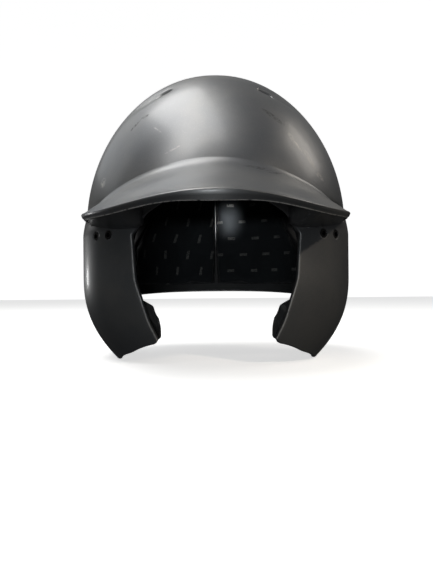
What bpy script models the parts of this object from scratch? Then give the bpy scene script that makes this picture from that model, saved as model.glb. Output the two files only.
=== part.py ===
"""A double-flap batting helmet: moulded shell, impact foam, comfort pads and face-guard inserts.

It stands on its ear flaps at z = 0 and faces -Y. Left and right are the wearer's, so left is +X.
"""

import math

import bmesh
import bpy
import numpy as np

MM = 0.001

# Shell: dome above the equator, skirt and ear flaps below it.
DOME_HALF_WIDTH = 100.5 * MM
DOME_FRONT = 120 * MM
DOME_REAR = 121 * MM
DOME_HEIGHT = 119 * MM
DOME_PROFILE = 1.95
DOME_PLAN = 2.15
EQUATOR_HEIGHT = 100 * MM
WALL = 3 * MM

FLAP_HALF_WIDTH = 103.5 * MM
FLAP_FRONT = 88 * MM
FLAP_PLAN = 2.6
FLAP_TUCK_HEIGHT = 62 * MM
FLAP_SIDE_TUCK = 25.5 * MM
FLAP_SIDE_TUCK_POWER = 2.4
FLAP_FRONT_TUCK = 14 * MM
FLAP_FRONT_TUCK_POWER = 2.0
NAPE_TUCK = 14 * MM
NAPE_TUCK_POWER = 1.6
SIDE_BLEND_ABOVE = 12 * MM
SIDE_BLEND_BELOW = 8 * MM
FRONT_BLEND_ABOVE = 14 * MM
FRONT_BLEND_BELOW = 7 * MM

# Bill.
BILL_REACH = 175 * MM
BILL_HALF_ANGLE = math.radians(63)
BILL_EDGE_HEIGHT = 107 * MM
BILL_EDGE_DROOP = 2 * MM
BILL_EDGE_SAG = 5 * MM
BILL_ROOT_SIDE_HEIGHT = 107 * MM
BILL_ROOT_RISE = 29 * MM
BILL_THICKNESS = 3.2 * MM
BILL_BULGE = 1.5 * MM
LIP_SIDE_DROP = 2.6 * MM
LIP_CENTRE_DROP = 2.8 * MM
LIP_SPREAD = 25 * MM
LIP_SETBACK = 1.2 * MM
BILL_ROOT_DEPTH = 0.45 * WALL

# Face opening, as seen from the front: half widths at heights.
OPENING_FOOT_HALF = 40.5 * MM
OPENING_FOOT_HEIGHT = 15 * MM
OPENING_JAW_HALF = 47.5 * MM
OPENING_JAW_HEIGHT = 30 * MM
OPENING_CHEEK_HALF = 56.5 * MM
OPENING_CHEEK_HEIGHT = 59 * MM
OPENING_TEMPLE_HALF = 58.5 * MM
OPENING_TEMPLE_HEIGHT = 90 * MM
OPENING_CORNER_HALF = 48.5 * MM
OPENING_CORNER_HEIGHT = 102.5 * MM
OPENING_BROW_HALF = 30 * MM
OPENING_BROW_HEIGHT = 111 * MM
OPENING_ROUNDING = 6 * MM

# Lower edge of the shell, as seen from the side.
FLAP_TIP_Y = -76 * MM
FLAP_TOE_Y = -62 * MM
FLAP_TOE_HEIGHT = 7.5 * MM
FLAP_LAND_FRONT_Y = -40 * MM
FLAP_LAND_REAR_Y = 22 * MM
FLAP_HEEL_Y = 40 * MM
FLAP_HEEL_HEIGHT = 14 * MM
FLAP_NECK_Y = 56 * MM
FLAP_NECK_HEIGHT = 38 * MM
NAPE_SIDE_Y = 72 * MM
NAPE_SIDE_HEIGHT = 46 * MM
NAPE_HEIGHT = 52.5 * MM
EDGE_ROUNDING = 8 * MM
LAND_CLEARANCE = 2 * MM

# Holes through the shell.
TOP_VENT_X = 36.5 * MM
TOP_VENT_Y = -61 * MM
TOP_VENT_LENGTH = 13 * MM
TOP_VENT_WIDTH = 7 * MM
TOP_VENT_TURN = math.radians(-68)
REAR_VENT_ANGLE = math.radians(134)
REAR_VENT_HEIGHT = 109 * MM
REAR_VENT_LENGTH = 34 * MM
REAR_VENT_WIDTH = 10 * MM
REAR_VENT_TILT = math.radians(35)
EAR_HOLE_HEIGHT = 60 * MM
EAR_HOLE_RADIUS = 17 * MM
EAR_FOAM_HOLE_MARGIN = 3 * MM

# Face-guard inserts.
INSERT_ANGLES = {"front": math.radians(47), "rear": math.radians(54.5)}
INSERT_HEIGHT = 90.5 * MM
INSERT_RADIUS = 3 * MM
INSERT_BORE_RADIUS = 1.7 * MM
INSERT_FLANGE_RADIUS = 5.4 * MM
INSERT_FLANGE_THICKNESS = 1.2 * MM
INSERT_CLEARANCE = 0.3 * MM
INSERT_SEAT_GAP = 0.9 * MM
INSERT_CUT_DEPTH = 3 * WALL

# Layers inside the shell, measured in from its outer face.
BOND_GAP = 0.8 * MM
FOAM_THICKNESS = 11 * MM
PAD_THICKNESS = 9 * MM
PAD_EDGE_SHARE = 0.55
PAD_SQUARENESS = 4
EAR_FOAM_THICKNESS = 8 * MM
JAW_PAD_THICKNESS = 18 * MM
JAW_EDGE_SHARE = 0.78
FASTENER_THICKNESS = 1.5 * MM

FOAM_OUTER = WALL + BOND_GAP
FOAM_INNER = FOAM_OUTER + FOAM_THICKNESS
PAD_OUTER = FOAM_INNER + BOND_GAP
JAW_OUTER = WALL + FASTENER_THICKNESS + 2 * BOND_GAP

# Outlines of the pads: heights on the shell, and angles from the front.
LINER_TOP = 178 * MM
BROW_BOTTOM = 113 * MM
BROW_HALF_ANGLE = math.radians(40)
BROW_TOP_HALF_ANGLE = math.radians(38)
TEMPLE_BOTTOM = 104 * MM
TEMPLE_FRONT_ANGLE = math.radians(45)
TEMPLE_REAR_ANGLE = math.radians(92)
SIDE_BOTTOM_FRONT_ANGLE = math.radians(108)
SIDE_BOTTOM_REAR_ANGLE = math.radians(117)
SIDE_TOP_FRONT_ANGLE = math.radians(100)
SIDE_TOP_REAR_ANGLE = math.radians(142)
REAR_PAD_BOTTOM = NAPE_HEIGHT + 4 * MM
REAR_BOTTOM_ANGLE = math.radians(122)
REAR_TOP_ANGLE = math.radians(152)
REAR_SEAM_GAP = 0.8 * MM
REAR_SEAM_ANGLE = math.pi - REAR_SEAM_GAP / 2.0 / DOME_HALF_WIDTH
EAR_FOAM_BOTTOM = EAR_HOLE_HEIGHT - 33 * MM
EAR_FOAM_TOP = EAR_HOLE_HEIGHT + 31 * MM
EAR_FOAM_FRONT_ANGLE = math.radians(74)
EAR_FOAM_REAR_ANGLE = math.radians(104.5)
JAW_PAD_BOTTOM = 13 * MM
JAW_PAD_TOP = 46 * MM
JAW_FRONT_ANGLE = math.radians(33)
JAW_REAR_ANGLE = math.radians(71)
JAW_FASTENER_MARGIN = 0.4
JAW_PAD_CORNER = 0.6
PANEL_CORNER = 0.3
LONG_PANEL_CORNER = 0.15
CROWN_EDGE_HEIGHT = 211 * MM
CROWN_FASTENER_EDGE_HEIGHT = 215 * MM

# Fineness of the meshes.
CROWN_RINGS = 3
CROWN_COLUMNS = 18
SHELL_FACET = 12 * MM
BLEND_FACET = 3.5 * MM
BLEND_MARGIN = 4 * MM
BLEND_TOP = EQUATOR_HEIGHT + FRONT_BLEND_ABOVE + BLEND_MARGIN
BLEND_BOTTOM = EQUATOR_HEIGHT - SIDE_BLEND_BELOW - BLEND_MARGIN
SHELL_COLUMNS = 4 * math.ceil(math.pi / 2.0 * DOME_REAR / SHELL_FACET)
SHELL_DOME_ROWS = math.ceil(math.pi / 2.0 * DOME_HEIGHT / SHELL_FACET)
SHELL_BLEND_ROWS = math.ceil((BLEND_TOP - BLEND_BOTTOM) / BLEND_FACET)
SHELL_SKIRT_ROWS = math.ceil(BLEND_BOTTOM / SHELL_FACET)
BILL_COLUMNS = 30
BILL_ROWS = 5
ROUND_SEGMENTS = 16
CORNER_SEGMENTS = 4
CORNER_SHARE = 0.475
ANGLE_STEP = math.radians(0.5)
PATCH_STEP = math.radians(7)
PATCH_ROW = 5 * MM
FEWEST_SPANS = 4
REACH = 400 * MM
SHARP_ANGLE = math.radians(35)

# Plain finishes: name, colour, roughness and metallic share.
FINISHES = {
    "shell": ("shell_graphite", (0.12, 0.12, 0.125), 0.42, 0.0),
    "foam": ("impact_foam", (0.035, 0.035, 0.038), 0.9, 0.0),
    "cloth": ("pad_cloth", (0.02, 0.02, 0.023), 0.85, 0.0),
    "fastener": ("hook_and_loop", (0.03, 0.03, 0.03), 0.95, 0.0),
    "metal": ("insert_steel", (0.55, 0.55, 0.55), 0.35, 1.0),
}


# ---------------------------------------------------------------- surface


def smooth_step(value):
    value = np.clip(value, 0.0, 1.0)
    return value * value * (3.0 - 2.0 * value)


def tuck(height, reach, top, power):
    """How far a wall has curved inward at a height below its top."""
    drop = max(top - height, 0.0) / top
    return reach * drop**power


def section(height, inset):
    """Half width, front reach, rear reach and roundness of the cross-section at a height."""
    top = DOME_HEIGHT - inset
    rise = min(max(height - EQUATOR_HEIGHT, 0.0) / top, 1.0)
    shrink = (1.0 - rise**DOME_PROFILE) ** (1.0 / DOME_PROFILE)
    side = smooth_step(
        (EQUATOR_HEIGHT + SIDE_BLEND_ABOVE - height) / (SIDE_BLEND_ABOVE + SIDE_BLEND_BELOW)
    )
    front = smooth_step(
        (EQUATOR_HEIGHT + FRONT_BLEND_ABOVE - height) / (FRONT_BLEND_ABOVE + FRONT_BLEND_BELOW)
    )
    dome_half = (DOME_HALF_WIDTH - inset) * shrink
    side_tuck = tuck(height, FLAP_SIDE_TUCK, FLAP_TUCK_HEIGHT, FLAP_SIDE_TUCK_POWER)
    flap_half = FLAP_HALF_WIDTH - inset - side_tuck
    dome_front = (DOME_FRONT - inset) * shrink
    front_tuck = tuck(height, FLAP_FRONT_TUCK, FLAP_TUCK_HEIGHT, FLAP_FRONT_TUCK_POWER)
    flap_front = FLAP_FRONT - inset - front_tuck
    rear_drop = max(EQUATOR_HEIGHT - height, 0.0) / (EQUATOR_HEIGHT - NAPE_HEIGHT)
    rear = (DOME_REAR - inset) * shrink - NAPE_TUCK * rear_drop**NAPE_TUCK_POWER
    half = dome_half + (flap_half - dome_half) * side
    reach = dome_front + (flap_front - dome_front) * front
    plan = DOME_PLAN + (FLAP_PLAN - DOME_PLAN) * side
    return half, reach, rear, plan


def surface_point(angle, height, inset=0.0):
    """Point on the shell's outer face moved in by inset. Angle 0 is the front, + turns to +X."""
    half, front, rear, plan = section(height, inset)
    across = abs(math.sin(angle))
    along = math.cos(angle)
    depth = front if along > 0.0 else rear
    scale = (across / half) ** plan + (abs(along) / depth) ** plan
    radius = scale ** (-1.0 / plan)
    return np.array((radius * math.sin(angle), -radius * along, height))


def level_height(level, inset=0.0):
    """Height of a level: 1 is the apex, 0 the equator, -1 the feet of the flaps."""
    if level < 0.0:
        return EQUATOR_HEIGHT * (1.0 + level)
    turn = level * math.pi / 2.0
    return EQUATOR_HEIGHT + (DOME_HEIGHT - inset) * math.sin(turn) ** (2.0 / DOME_PROFILE)


def height_level(height):
    """The level that lies at a height on the outer face."""
    if height < EQUATOR_HEIGHT:
        return height / EQUATOR_HEIGHT - 1.0
    rise = (height - EQUATOR_HEIGHT) / DOME_HEIGHT
    return math.asin(rise ** (DOME_PROFILE / 2.0)) * 2.0 / math.pi


# ---------------------------------------------------------------- meshes and materials


def clear_scene():
    for old in list(bpy.data.objects):
        bpy.data.objects.remove(old)


def material(name, color, roughness, metallic):
    made = bpy.data.materials.new(name)
    made.use_nodes = True
    shader = made.node_tree.nodes["Principled BSDF"]
    shader.inputs["Base Color"].default_value = (*color, 1.0)
    shader.inputs["Roughness"].default_value = roughness
    shader.inputs["Metallic"].default_value = metallic
    made.diffuse_color = (*color, 1.0)
    return made


def mesh_object(name, points, faces, look=None, smooth=True):
    mesh = bpy.data.meshes.new(name)
    mesh.from_pydata([tuple(point) for point in points], [], faces)
    tidy = bmesh.new()
    tidy.from_mesh(mesh)
    bmesh.ops.recalc_face_normals(tidy, faces=tidy.faces)
    tidy.to_mesh(mesh)
    tidy.free()
    for face in mesh.polygons:
        face.use_smooth = smooth
    mesh.set_sharp_from_angle(angle=SHARP_ANGLE)
    made = bpy.data.objects.new(name, mesh)
    bpy.context.scene.collection.objects.link(made)
    if look is not None:
        mesh.materials.append(look)
    return made


def cutter(name, points, faces):
    made = mesh_object(name, points, faces, smooth=False)
    made.hide_render = True
    made.display_type = "WIRE"
    return made


def apply_boolean(target, other, operation):
    """Combines other into target for good, then takes the helper away."""
    step = target.modifiers.new(other.name, "BOOLEAN")
    step.object = other
    step.operation = operation
    step.solver = "EXACT"
    graph = bpy.context.evaluated_depsgraph_get()
    result = bpy.data.meshes.new_from_object(target.evaluated_get(graph))
    target.modifiers.clear()
    target.data = result
    bpy.data.objects.remove(other)


def grid_faces(rows, columns, start, wrap=False):
    """Quads over a grid of rows x columns points that begins at index start."""
    faces = []
    spans = columns if wrap else columns - 1
    for row in range(rows - 1):
        for column in range(spans):
            after = (column + 1) % columns
            near = start + row * columns
            far = near + columns
            faces.append((near + column, near + after, far + after, far + column))
    return faces


def prism(name, outline, near, far, place):
    """A closed cutter: an outline of 2-D points placed at two depths."""
    count = len(outline)
    points = [place(u, v, near) for u, v in outline]
    points += [place(u, v, far) for u, v in outline]
    faces = [tuple(range(count)), tuple(range(2 * count - 1, count - 1, -1))]
    for index in range(count):
        after = (index + 1) % count
        faces.append((index, index + count, after + count, after))
    return cutter(name, points, faces)


def rounded(corners, radius, sharp=()):
    """The outline with each corner turned into an arc-like curve, except the sharp ones."""
    outline = []
    count = len(corners)
    for index, corner in enumerate(corners):
        here = np.array(corner)
        if index in sharp:
            outline.append(tuple(here))
            continue
        before = np.array(corners[index - 1]) - here
        after = np.array(corners[(index + 1) % count]) - here
        longest = min(np.linalg.norm(before), np.linalg.norm(after)) * CORNER_SHARE
        cut = min(radius, longest)
        start = here + before / np.linalg.norm(before) * cut
        end = here + after / np.linalg.norm(after) * cut
        for step in range(CORNER_SEGMENTS + 1):
            share = step / CORNER_SEGMENTS
            first = start + (here - start) * share
            second = here + (end - here) * share
            outline.append(tuple(first + (second - first) * share))
    return outline


# ---------------------------------------------------------------- outer shell


def shell_levels():
    """Levels from below the apex to the feet, closest where the dome turns into the flaps."""
    stops = (1.0, height_level(BLEND_TOP), height_level(BLEND_BOTTOM), -1.0)
    counts = (SHELL_DOME_ROWS, SHELL_BLEND_ROWS, SHELL_SKIRT_ROWS)
    levels = []
    for start, end, count in zip(stops, stops[1:], counts):
        levels += [start + (end - start) * row / count for row in range(1, count + 1)]
    return levels


def shell_pot():
    """The closed, thick-walled pot that the shell is cut from."""
    levels = shell_levels()
    rows = len(levels)
    points = []
    faces = []
    for inset in (0.0, WALL):
        start = len(points)
        for level in levels:
            height = level_height(level, inset)
            for column in range(SHELL_COLUMNS):
                angle = column / SHELL_COLUMNS * 2.0 * math.pi
                points.append(surface_point(angle, height, inset))
        faces += grid_faces(rows, SHELL_COLUMNS, start, wrap=True)
        apex = len(points)
        points.append(np.array((0.0, 0.0, EQUATOR_HEIGHT + DOME_HEIGHT - inset)))
        for column in range(SHELL_COLUMNS):
            after = (column + 1) % SHELL_COLUMNS
            faces.append((apex, start + column, start + after))
    outer_foot = (rows - 1) * SHELL_COLUMNS
    inner_foot = outer_foot + rows * SHELL_COLUMNS + 1
    for column in range(SHELL_COLUMNS):
        after = (column + 1) % SHELL_COLUMNS
        faces.append(
            (outer_foot + column, outer_foot + after, inner_foot + after, inner_foot + column)
        )
    return mesh_object("outer_shell", points, faces)


def bill_edge(turn):
    """Point on the bill's outer edge: half an ellipse seen from above, from -90 to 90 degrees."""
    corner = surface_point(BILL_HALF_ANGLE, BILL_EDGE_HEIGHT, BILL_ROOT_DEPTH / 2.0)
    depth = BILL_REACH + corner[1]
    sag = BILL_EDGE_SAG * math.sin(2.0 * turn) ** 2
    height = BILL_EDGE_HEIGHT - BILL_EDGE_DROOP * math.sin(turn) ** 2 - sag
    return np.array((corner[0] * math.sin(turn), corner[1] - depth * math.cos(turn), height))


def bill_loop(turn):
    """Closed cross-section of the bill, from the wall out to the lip and back underneath."""
    angle = turn / (math.pi / 2.0) * BILL_HALF_ANGLE
    root_height = BILL_ROOT_SIDE_HEIGHT + BILL_ROOT_RISE * math.cos(turn) ** 2
    root = surface_point(angle, root_height, BILL_ROOT_DEPTH)
    edge = bill_edge(turn)
    drop = LIP_SIDE_DROP + LIP_CENTRE_DROP * math.exp(-((edge[0] / LIP_SPREAD) ** 2))
    reach = math.cos(turn)
    outward = np.array((math.sin(angle), -math.cos(angle), 0.0))
    up = np.array((0.0, 0.0, 1.0))
    top = []
    for row in range(BILL_ROWS + 1):
        share = row / BILL_ROWS
        bulge = BILL_BULGE * math.sin(share * math.pi) * reach
        top.append(root + (edge - root) * share + up * bulge)
    under = [point - up * BILL_THICKNESS for point in top[:-1]]
    setback = LIP_SETBACK * reach
    lip = [edge - up * drop / 2.0 + outward * setback / 2.0]
    lip.append(edge - up * (drop + BILL_THICKNESS / 2.0) - outward * setback)
    return top + lip + under[::-1]


def bill():
    steps = range(BILL_COLUMNS + 1)
    turns = [math.pi * (step / BILL_COLUMNS - 0.5) for step in steps]
    loops = [bill_loop(turn) for turn in turns]
    size = len(loops[0])
    points = [point for loop in loops for point in loop]
    faces = grid_faces(len(loops), size, 0, wrap=True)
    faces.append(tuple(range(size)))
    faces.append(tuple(range(len(points) - 1, len(points) - 1 - size, -1)))
    return mesh_object("bill", points, faces)


def face_opening():
    half = [
        (OPENING_FOOT_HALF, -LAND_CLEARANCE),
        (OPENING_FOOT_HALF, OPENING_FOOT_HEIGHT),
        (OPENING_JAW_HALF, OPENING_JAW_HEIGHT),
        (OPENING_CHEEK_HALF, OPENING_CHEEK_HEIGHT),
        (OPENING_TEMPLE_HALF, OPENING_TEMPLE_HEIGHT),
        (OPENING_CORNER_HALF, OPENING_CORNER_HEIGHT),
        (OPENING_BROW_HALF, OPENING_BROW_HEIGHT),
    ]
    corners = half + [(-x, z) for x, z in reversed(half)]
    outline = rounded(corners, OPENING_ROUNDING, sharp=(0, len(corners) - 1))
    return prism("opening", outline, -REACH, 0.0, lambda x, z, y: (x, y, z))


def lower_edge():
    corners = [
        (-REACH, OPENING_FOOT_HEIGHT + OPENING_JAW_HEIGHT),
        (FLAP_TIP_Y, OPENING_FOOT_HEIGHT),
        (FLAP_TOE_Y, FLAP_TOE_HEIGHT),
        (FLAP_LAND_FRONT_Y, -LAND_CLEARANCE),
        (FLAP_LAND_REAR_Y, -LAND_CLEARANCE),
        (FLAP_HEEL_Y, FLAP_HEEL_HEIGHT),
        (FLAP_NECK_Y, FLAP_NECK_HEIGHT),
        (NAPE_SIDE_Y, NAPE_SIDE_HEIGHT),
        (DOME_REAR, NAPE_HEIGHT),
        (REACH, NAPE_HEIGHT),
        (REACH, -REACH),
        (-REACH, -REACH),
    ]
    outline = rounded(corners, EDGE_ROUNDING, sharp=(0, 3, 4, 9, 10, 11))
    return prism("lower_edge", outline, -REACH, REACH, lambda y, z, x: (x, y, z))


def slot_outline(length, width):
    """A slot with round ends, lying along v."""
    outline = []
    half = ROUND_SEGMENTS // 2
    straight = (length - width) / 2.0
    for end in (0, 1):
        for step in range(half + 1):
            turn = math.pi * (step / half + end)
            lift = straight if end == 0 else -straight
            u = math.cos(turn) * width / 2.0
            v = math.sin(turn) * width / 2.0 + lift
            outline.append((u, v))
    return outline


def turned(outline, angle):
    return [
        (
            u * math.cos(angle) - v * math.sin(angle),
            u * math.sin(angle) + v * math.cos(angle),
        )
        for u, v in outline
    ]


def radial_cutter(name, outline, angle, height, near, far):
    """A prism through the wall, facing outward at an angle and height."""
    outward = np.array((math.sin(angle), -math.cos(angle), 0.0))
    sideways = np.array((math.cos(angle), math.sin(angle), 0.0))
    up = np.array((0.0, 0.0, 1.0))
    centre = up * height

    def place(u, v, depth):
        return centre + outward * depth + sideways * u + up * v

    return prism(name, outline, near, far, place)


def circle(radius):
    steps = range(ROUND_SEGMENTS)
    turns = [2.0 * math.pi * step / ROUND_SEGMENTS for step in steps]
    return [(radius * math.cos(turn), radius * math.sin(turn)) for turn in turns]


def top_vent(side):
    outline = turned(slot_outline(TOP_VENT_LENGTH, TOP_VENT_WIDTH), side * TOP_VENT_TURN)
    moved = [(u + side * TOP_VENT_X, v + TOP_VENT_Y) for u, v in outline]
    roof = EQUATOR_HEIGHT + DOME_HEIGHT
    return prism("top_vent", moved, roof / 2.0, roof * 2.0, lambda x, y, z: (x, y, z))


def rear_vent(side):
    outline = turned(slot_outline(REAR_VENT_LENGTH, REAR_VENT_WIDTH), side * REAR_VENT_TILT)
    angle = side * REAR_VENT_ANGLE
    return radial_cutter(
        "rear_vent", outline, angle, REAR_VENT_HEIGHT, DOME_HALF_WIDTH / 2.0, REACH
    )


def ear_hole(side, radius):
    outline = circle(radius)
    angle = side * math.pi / 2.0
    near = FLAP_HALF_WIDTH / 2.0
    return radial_cutter("ear_hole", outline, angle, EAR_HOLE_HEIGHT, near, REACH)


def insert_frame(side, place):
    """Centre on the outer face, and the outward direction, of one face-guard insert."""
    angle = side * INSERT_ANGLES[place]
    centre = surface_point(angle, INSERT_HEIGHT)
    before = surface_point(angle - ANGLE_STEP, INSERT_HEIGHT)
    after = surface_point(angle + ANGLE_STEP, INSERT_HEIGHT)
    along = (after - before) / np.linalg.norm(after - before)
    outward = np.array((along[1], -along[0], 0.0))
    if np.dot(outward, centre) < 0.0:
        outward = -outward
    return centre, outward


def insert_hole(side, place):
    centre, outward = insert_frame(side, place)
    up = np.array((0.0, 0.0, 1.0))
    sideways = np.cross(up, outward)

    def put(u, v, depth):
        return centre + outward * depth + sideways * u + up * v

    radius = INSERT_RADIUS + INSERT_CLEARANCE
    return prism("insert_hole", circle(radius), -INSERT_CUT_DEPTH, INSERT_CUT_DEPTH, put)


def outer_shell(look):
    shell = shell_pot()
    apply_boolean(shell, face_opening(), "DIFFERENCE")
    apply_boolean(shell, lower_edge(), "DIFFERENCE")
    apply_boolean(shell, bill(), "UNION")
    for side in (-1, 1):
        apply_boolean(shell, top_vent(side), "DIFFERENCE")
        apply_boolean(shell, rear_vent(side), "DIFFERENCE")
        apply_boolean(shell, ear_hole(side, EAR_HOLE_RADIUS), "DIFFERENCE")
        for place in INSERT_ANGLES:
            apply_boolean(shell, insert_hole(side, place), "DIFFERENCE")
    shell.data.materials.clear()
    shell.data.materials.append(look)
    for face in shell.data.polygons:
        face.material_index = 0
        face.use_smooth = True
    shell.data.set_sharp_from_angle(angle=SHARP_ANGLE)
    return shell


# ---------------------------------------------------------------- layers inside the shell


def rounded_square(u, v, corner):
    """Pulls the corners of the square -1..1 inward, so that a patch has round corners."""
    return (
        u * math.sqrt(1.0 - corner * v * v / 2.0),
        v * math.sqrt(1.0 - corner * u * u / 2.0),
    )


class Patch:
    """The outline of a pad on the shell: heights of its ends, and the angles each end spans."""

    def __init__(self, bottom, top, bottom_span, top_span, corner=PANEL_CORNER):
        self.bottom = height_level(bottom)
        self.top = height_level(top)
        self.bottom_span = bottom_span
        self.top_span = top_span
        self.corner = corner

    def mirrored(self):
        other = Patch(EQUATOR_HEIGHT, EQUATOR_HEIGHT, None, None, self.corner)
        other.bottom = self.bottom
        other.top = self.top
        other.bottom_span = tuple(-angle for angle in self.bottom_span)
        other.top_span = tuple(-angle for angle in self.top_span)
        return other

    def shrunk(self, margin):
        """The same outline drawn in by a share of its size on every side."""

        def inner(pair):
            middle = (pair[0] + pair[1]) / 2.0
            return tuple(middle + (value - middle) * (1.0 - margin) for value in pair)

        other = self.mirrored().mirrored()
        other.bottom, other.top = inner((self.bottom, self.top))
        other.bottom_span = inner(self.bottom_span)
        other.top_span = inner(self.top_span)
        return other

    def place(self, u, v):
        """Angle and level at u, v in -1..1."""
        u, v = rounded_square(u, v, self.corner)
        up = (v + 1.0) / 2.0
        across = (u + 1.0) / 2.0
        start = self.bottom_span[0] + (self.top_span[0] - self.bottom_span[0]) * up
        end = self.bottom_span[1] + (self.top_span[1] - self.bottom_span[1]) * up
        return start + (end - start) * across, self.bottom + (self.top - self.bottom) * up

    def size(self):
        """Rows and columns of points that follow the shell's curve closely."""
        widest = max(abs(pair[1] - pair[0]) for pair in (self.bottom_span, self.top_span))
        columns = max(FEWEST_SPANS, math.ceil(widest / PATCH_STEP)) + 1
        tall = level_height(self.top) - level_height(self.bottom)
        rows = max(FEWEST_SPANS, math.ceil(tall / PATCH_ROW)) + 1
        return rows, columns


def cushion(name, look, patch, outer, thickness, edge_share=1.0):
    """A closed pad on the inside of the shell, thinner at its edges than in its middle."""
    rows, columns = patch.size()
    points = []
    for face in (0.0, 1.0):
        for row in range(rows):
            v = 2.0 * row / (rows - 1) - 1.0
            for column in range(columns):
                u = 2.0 * column / (columns - 1) - 1.0
                crown = (1.0 - u**PAD_SQUARENESS) * (1.0 - v**PAD_SQUARENESS)
                deep = thickness * (edge_share + (1.0 - edge_share) * crown)
                inset = outer + face * deep
                angle, level = patch.place(u, v)
                points.append(surface_point(angle, level_height(level, inset), inset))
    inner = rows * columns
    faces = grid_faces(rows, columns, 0) + grid_faces(rows, columns, inner)
    rim = list(range(columns))
    rim += [row * columns + columns - 1 for row in range(1, rows)]
    rim += [(rows - 1) * columns + column for column in range(columns - 2, -1, -1)]
    rim += [row * columns for row in range(rows - 2, 0, -1)]
    for index, here in enumerate(rim):
        after = rim[(index + 1) % len(rim)]
        faces.append((here, after, after + inner, here + inner))
    return mesh_object(name, points, faces, look)


def disc(name, look, edge_height, outer, thickness, edge_share=1.0):
    """A closed round pad under the apex of the dome."""
    edge = height_level(edge_height)
    points = []
    faces = []
    fans = []
    for face in (0.0, 1.0):
        start = len(points)
        for ring in range(1, CROWN_RINGS + 1):
            share = ring / CROWN_RINGS
            deep = thickness * (edge_share + (1.0 - edge_share) * (1.0 - share**PAD_SQUARENESS))
            inset = outer + face * deep
            height = level_height(1.0 + (edge - 1.0) * share, inset)
            for column in range(CROWN_COLUMNS):
                angle = 2.0 * math.pi * column / CROWN_COLUMNS
                points.append(surface_point(angle, height, inset))
        apex = len(points)
        inset = outer + face * thickness
        points.append(np.array((0.0, 0.0, EQUATOR_HEIGHT + DOME_HEIGHT - inset)))
        faces += grid_faces(CROWN_RINGS, CROWN_COLUMNS, start, wrap=True)
        for column in range(CROWN_COLUMNS):
            after = (column + 1) % CROWN_COLUMNS
            faces.append((apex, start + column, start + after))
        fans.append(start + (CROWN_RINGS - 1) * CROWN_COLUMNS)
    for column in range(CROWN_COLUMNS):
        after = (column + 1) % CROWN_COLUMNS
        faces.append((fans[0] + column, fans[0] + after, fans[1] + after, fans[1] + column))
    return mesh_object(name, points, faces, look)


BROW_PATCH = Patch(
    BROW_BOTTOM,
    LINER_TOP,
    (-BROW_HALF_ANGLE, BROW_HALF_ANGLE),
    (-BROW_TOP_HALF_ANGLE, BROW_TOP_HALF_ANGLE),
)
TEMPLE_PATCH = Patch(
    TEMPLE_BOTTOM,
    LINER_TOP,
    (TEMPLE_FRONT_ANGLE, TEMPLE_REAR_ANGLE),
    (TEMPLE_FRONT_ANGLE, TEMPLE_REAR_ANGLE),
)
SIDE_PATCH = Patch(
    REAR_PAD_BOTTOM,
    LINER_TOP,
    (SIDE_BOTTOM_FRONT_ANGLE, SIDE_BOTTOM_REAR_ANGLE),
    (SIDE_TOP_FRONT_ANGLE, SIDE_TOP_REAR_ANGLE),
    corner=LONG_PANEL_CORNER,
)
REAR_PATCH = Patch(
    REAR_PAD_BOTTOM,
    LINER_TOP,
    (REAR_BOTTOM_ANGLE, REAR_SEAM_ANGLE),
    (REAR_TOP_ANGLE, REAR_SEAM_ANGLE),
    corner=LONG_PANEL_CORNER,
)
EAR_PATCH = Patch(
    EAR_FOAM_BOTTOM,
    EAR_FOAM_TOP,
    (EAR_FOAM_FRONT_ANGLE, EAR_FOAM_REAR_ANGLE),
    (EAR_FOAM_FRONT_ANGLE, EAR_FOAM_REAR_ANGLE),
    corner=LONG_PANEL_CORNER,
)
JAW_PATCH = Patch(
    JAW_PAD_BOTTOM,
    JAW_PAD_TOP,
    (JAW_FRONT_ANGLE, JAW_REAR_ANGLE),
    (JAW_FRONT_ANGLE, JAW_REAR_ANGLE),
    corner=JAW_PAD_CORNER,
)


def side_of(patch, side):
    return patch if side > 0 else patch.mirrored()


def liner(looks):
    """Foam against the shell and the covered pads on it."""
    foam = looks["foam"]
    cloth = looks["cloth"]
    cushion("brow_foam", foam, BROW_PATCH, FOAM_OUTER, FOAM_THICKNESS)
    cushion("brow_pad", cloth, BROW_PATCH, PAD_OUTER, PAD_THICKNESS, PAD_EDGE_SHARE)
    disc("crown_foam", foam, CROWN_EDGE_HEIGHT, FOAM_OUTER, FOAM_THICKNESS)
    fastener = looks["fastener"]
    disc("crown_pad_fastener", fastener, CROWN_FASTENER_EDGE_HEIGHT, PAD_OUTER, FASTENER_THICKNESS)
    pad_depth = PAD_OUTER + FASTENER_THICKNESS + BOND_GAP
    disc("crown_pad", cloth, CROWN_EDGE_HEIGHT, pad_depth, PAD_THICKNESS, PAD_EDGE_SHARE)
    layered = {"temple": TEMPLE_PATCH, "side": SIDE_PATCH, "rear": REAR_PATCH}
    for label, side in (("left", 1), ("right", -1)):
        for zone, outline in layered.items():
            patch = side_of(outline, side)
            cushion(f"{label}_{zone}_foam", foam, patch, FOAM_OUTER, FOAM_THICKNESS)
            name = f"{label}_{zone}_pad"
            cushion(name, cloth, patch, PAD_OUTER, PAD_THICKNESS, PAD_EDGE_SHARE)


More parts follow.
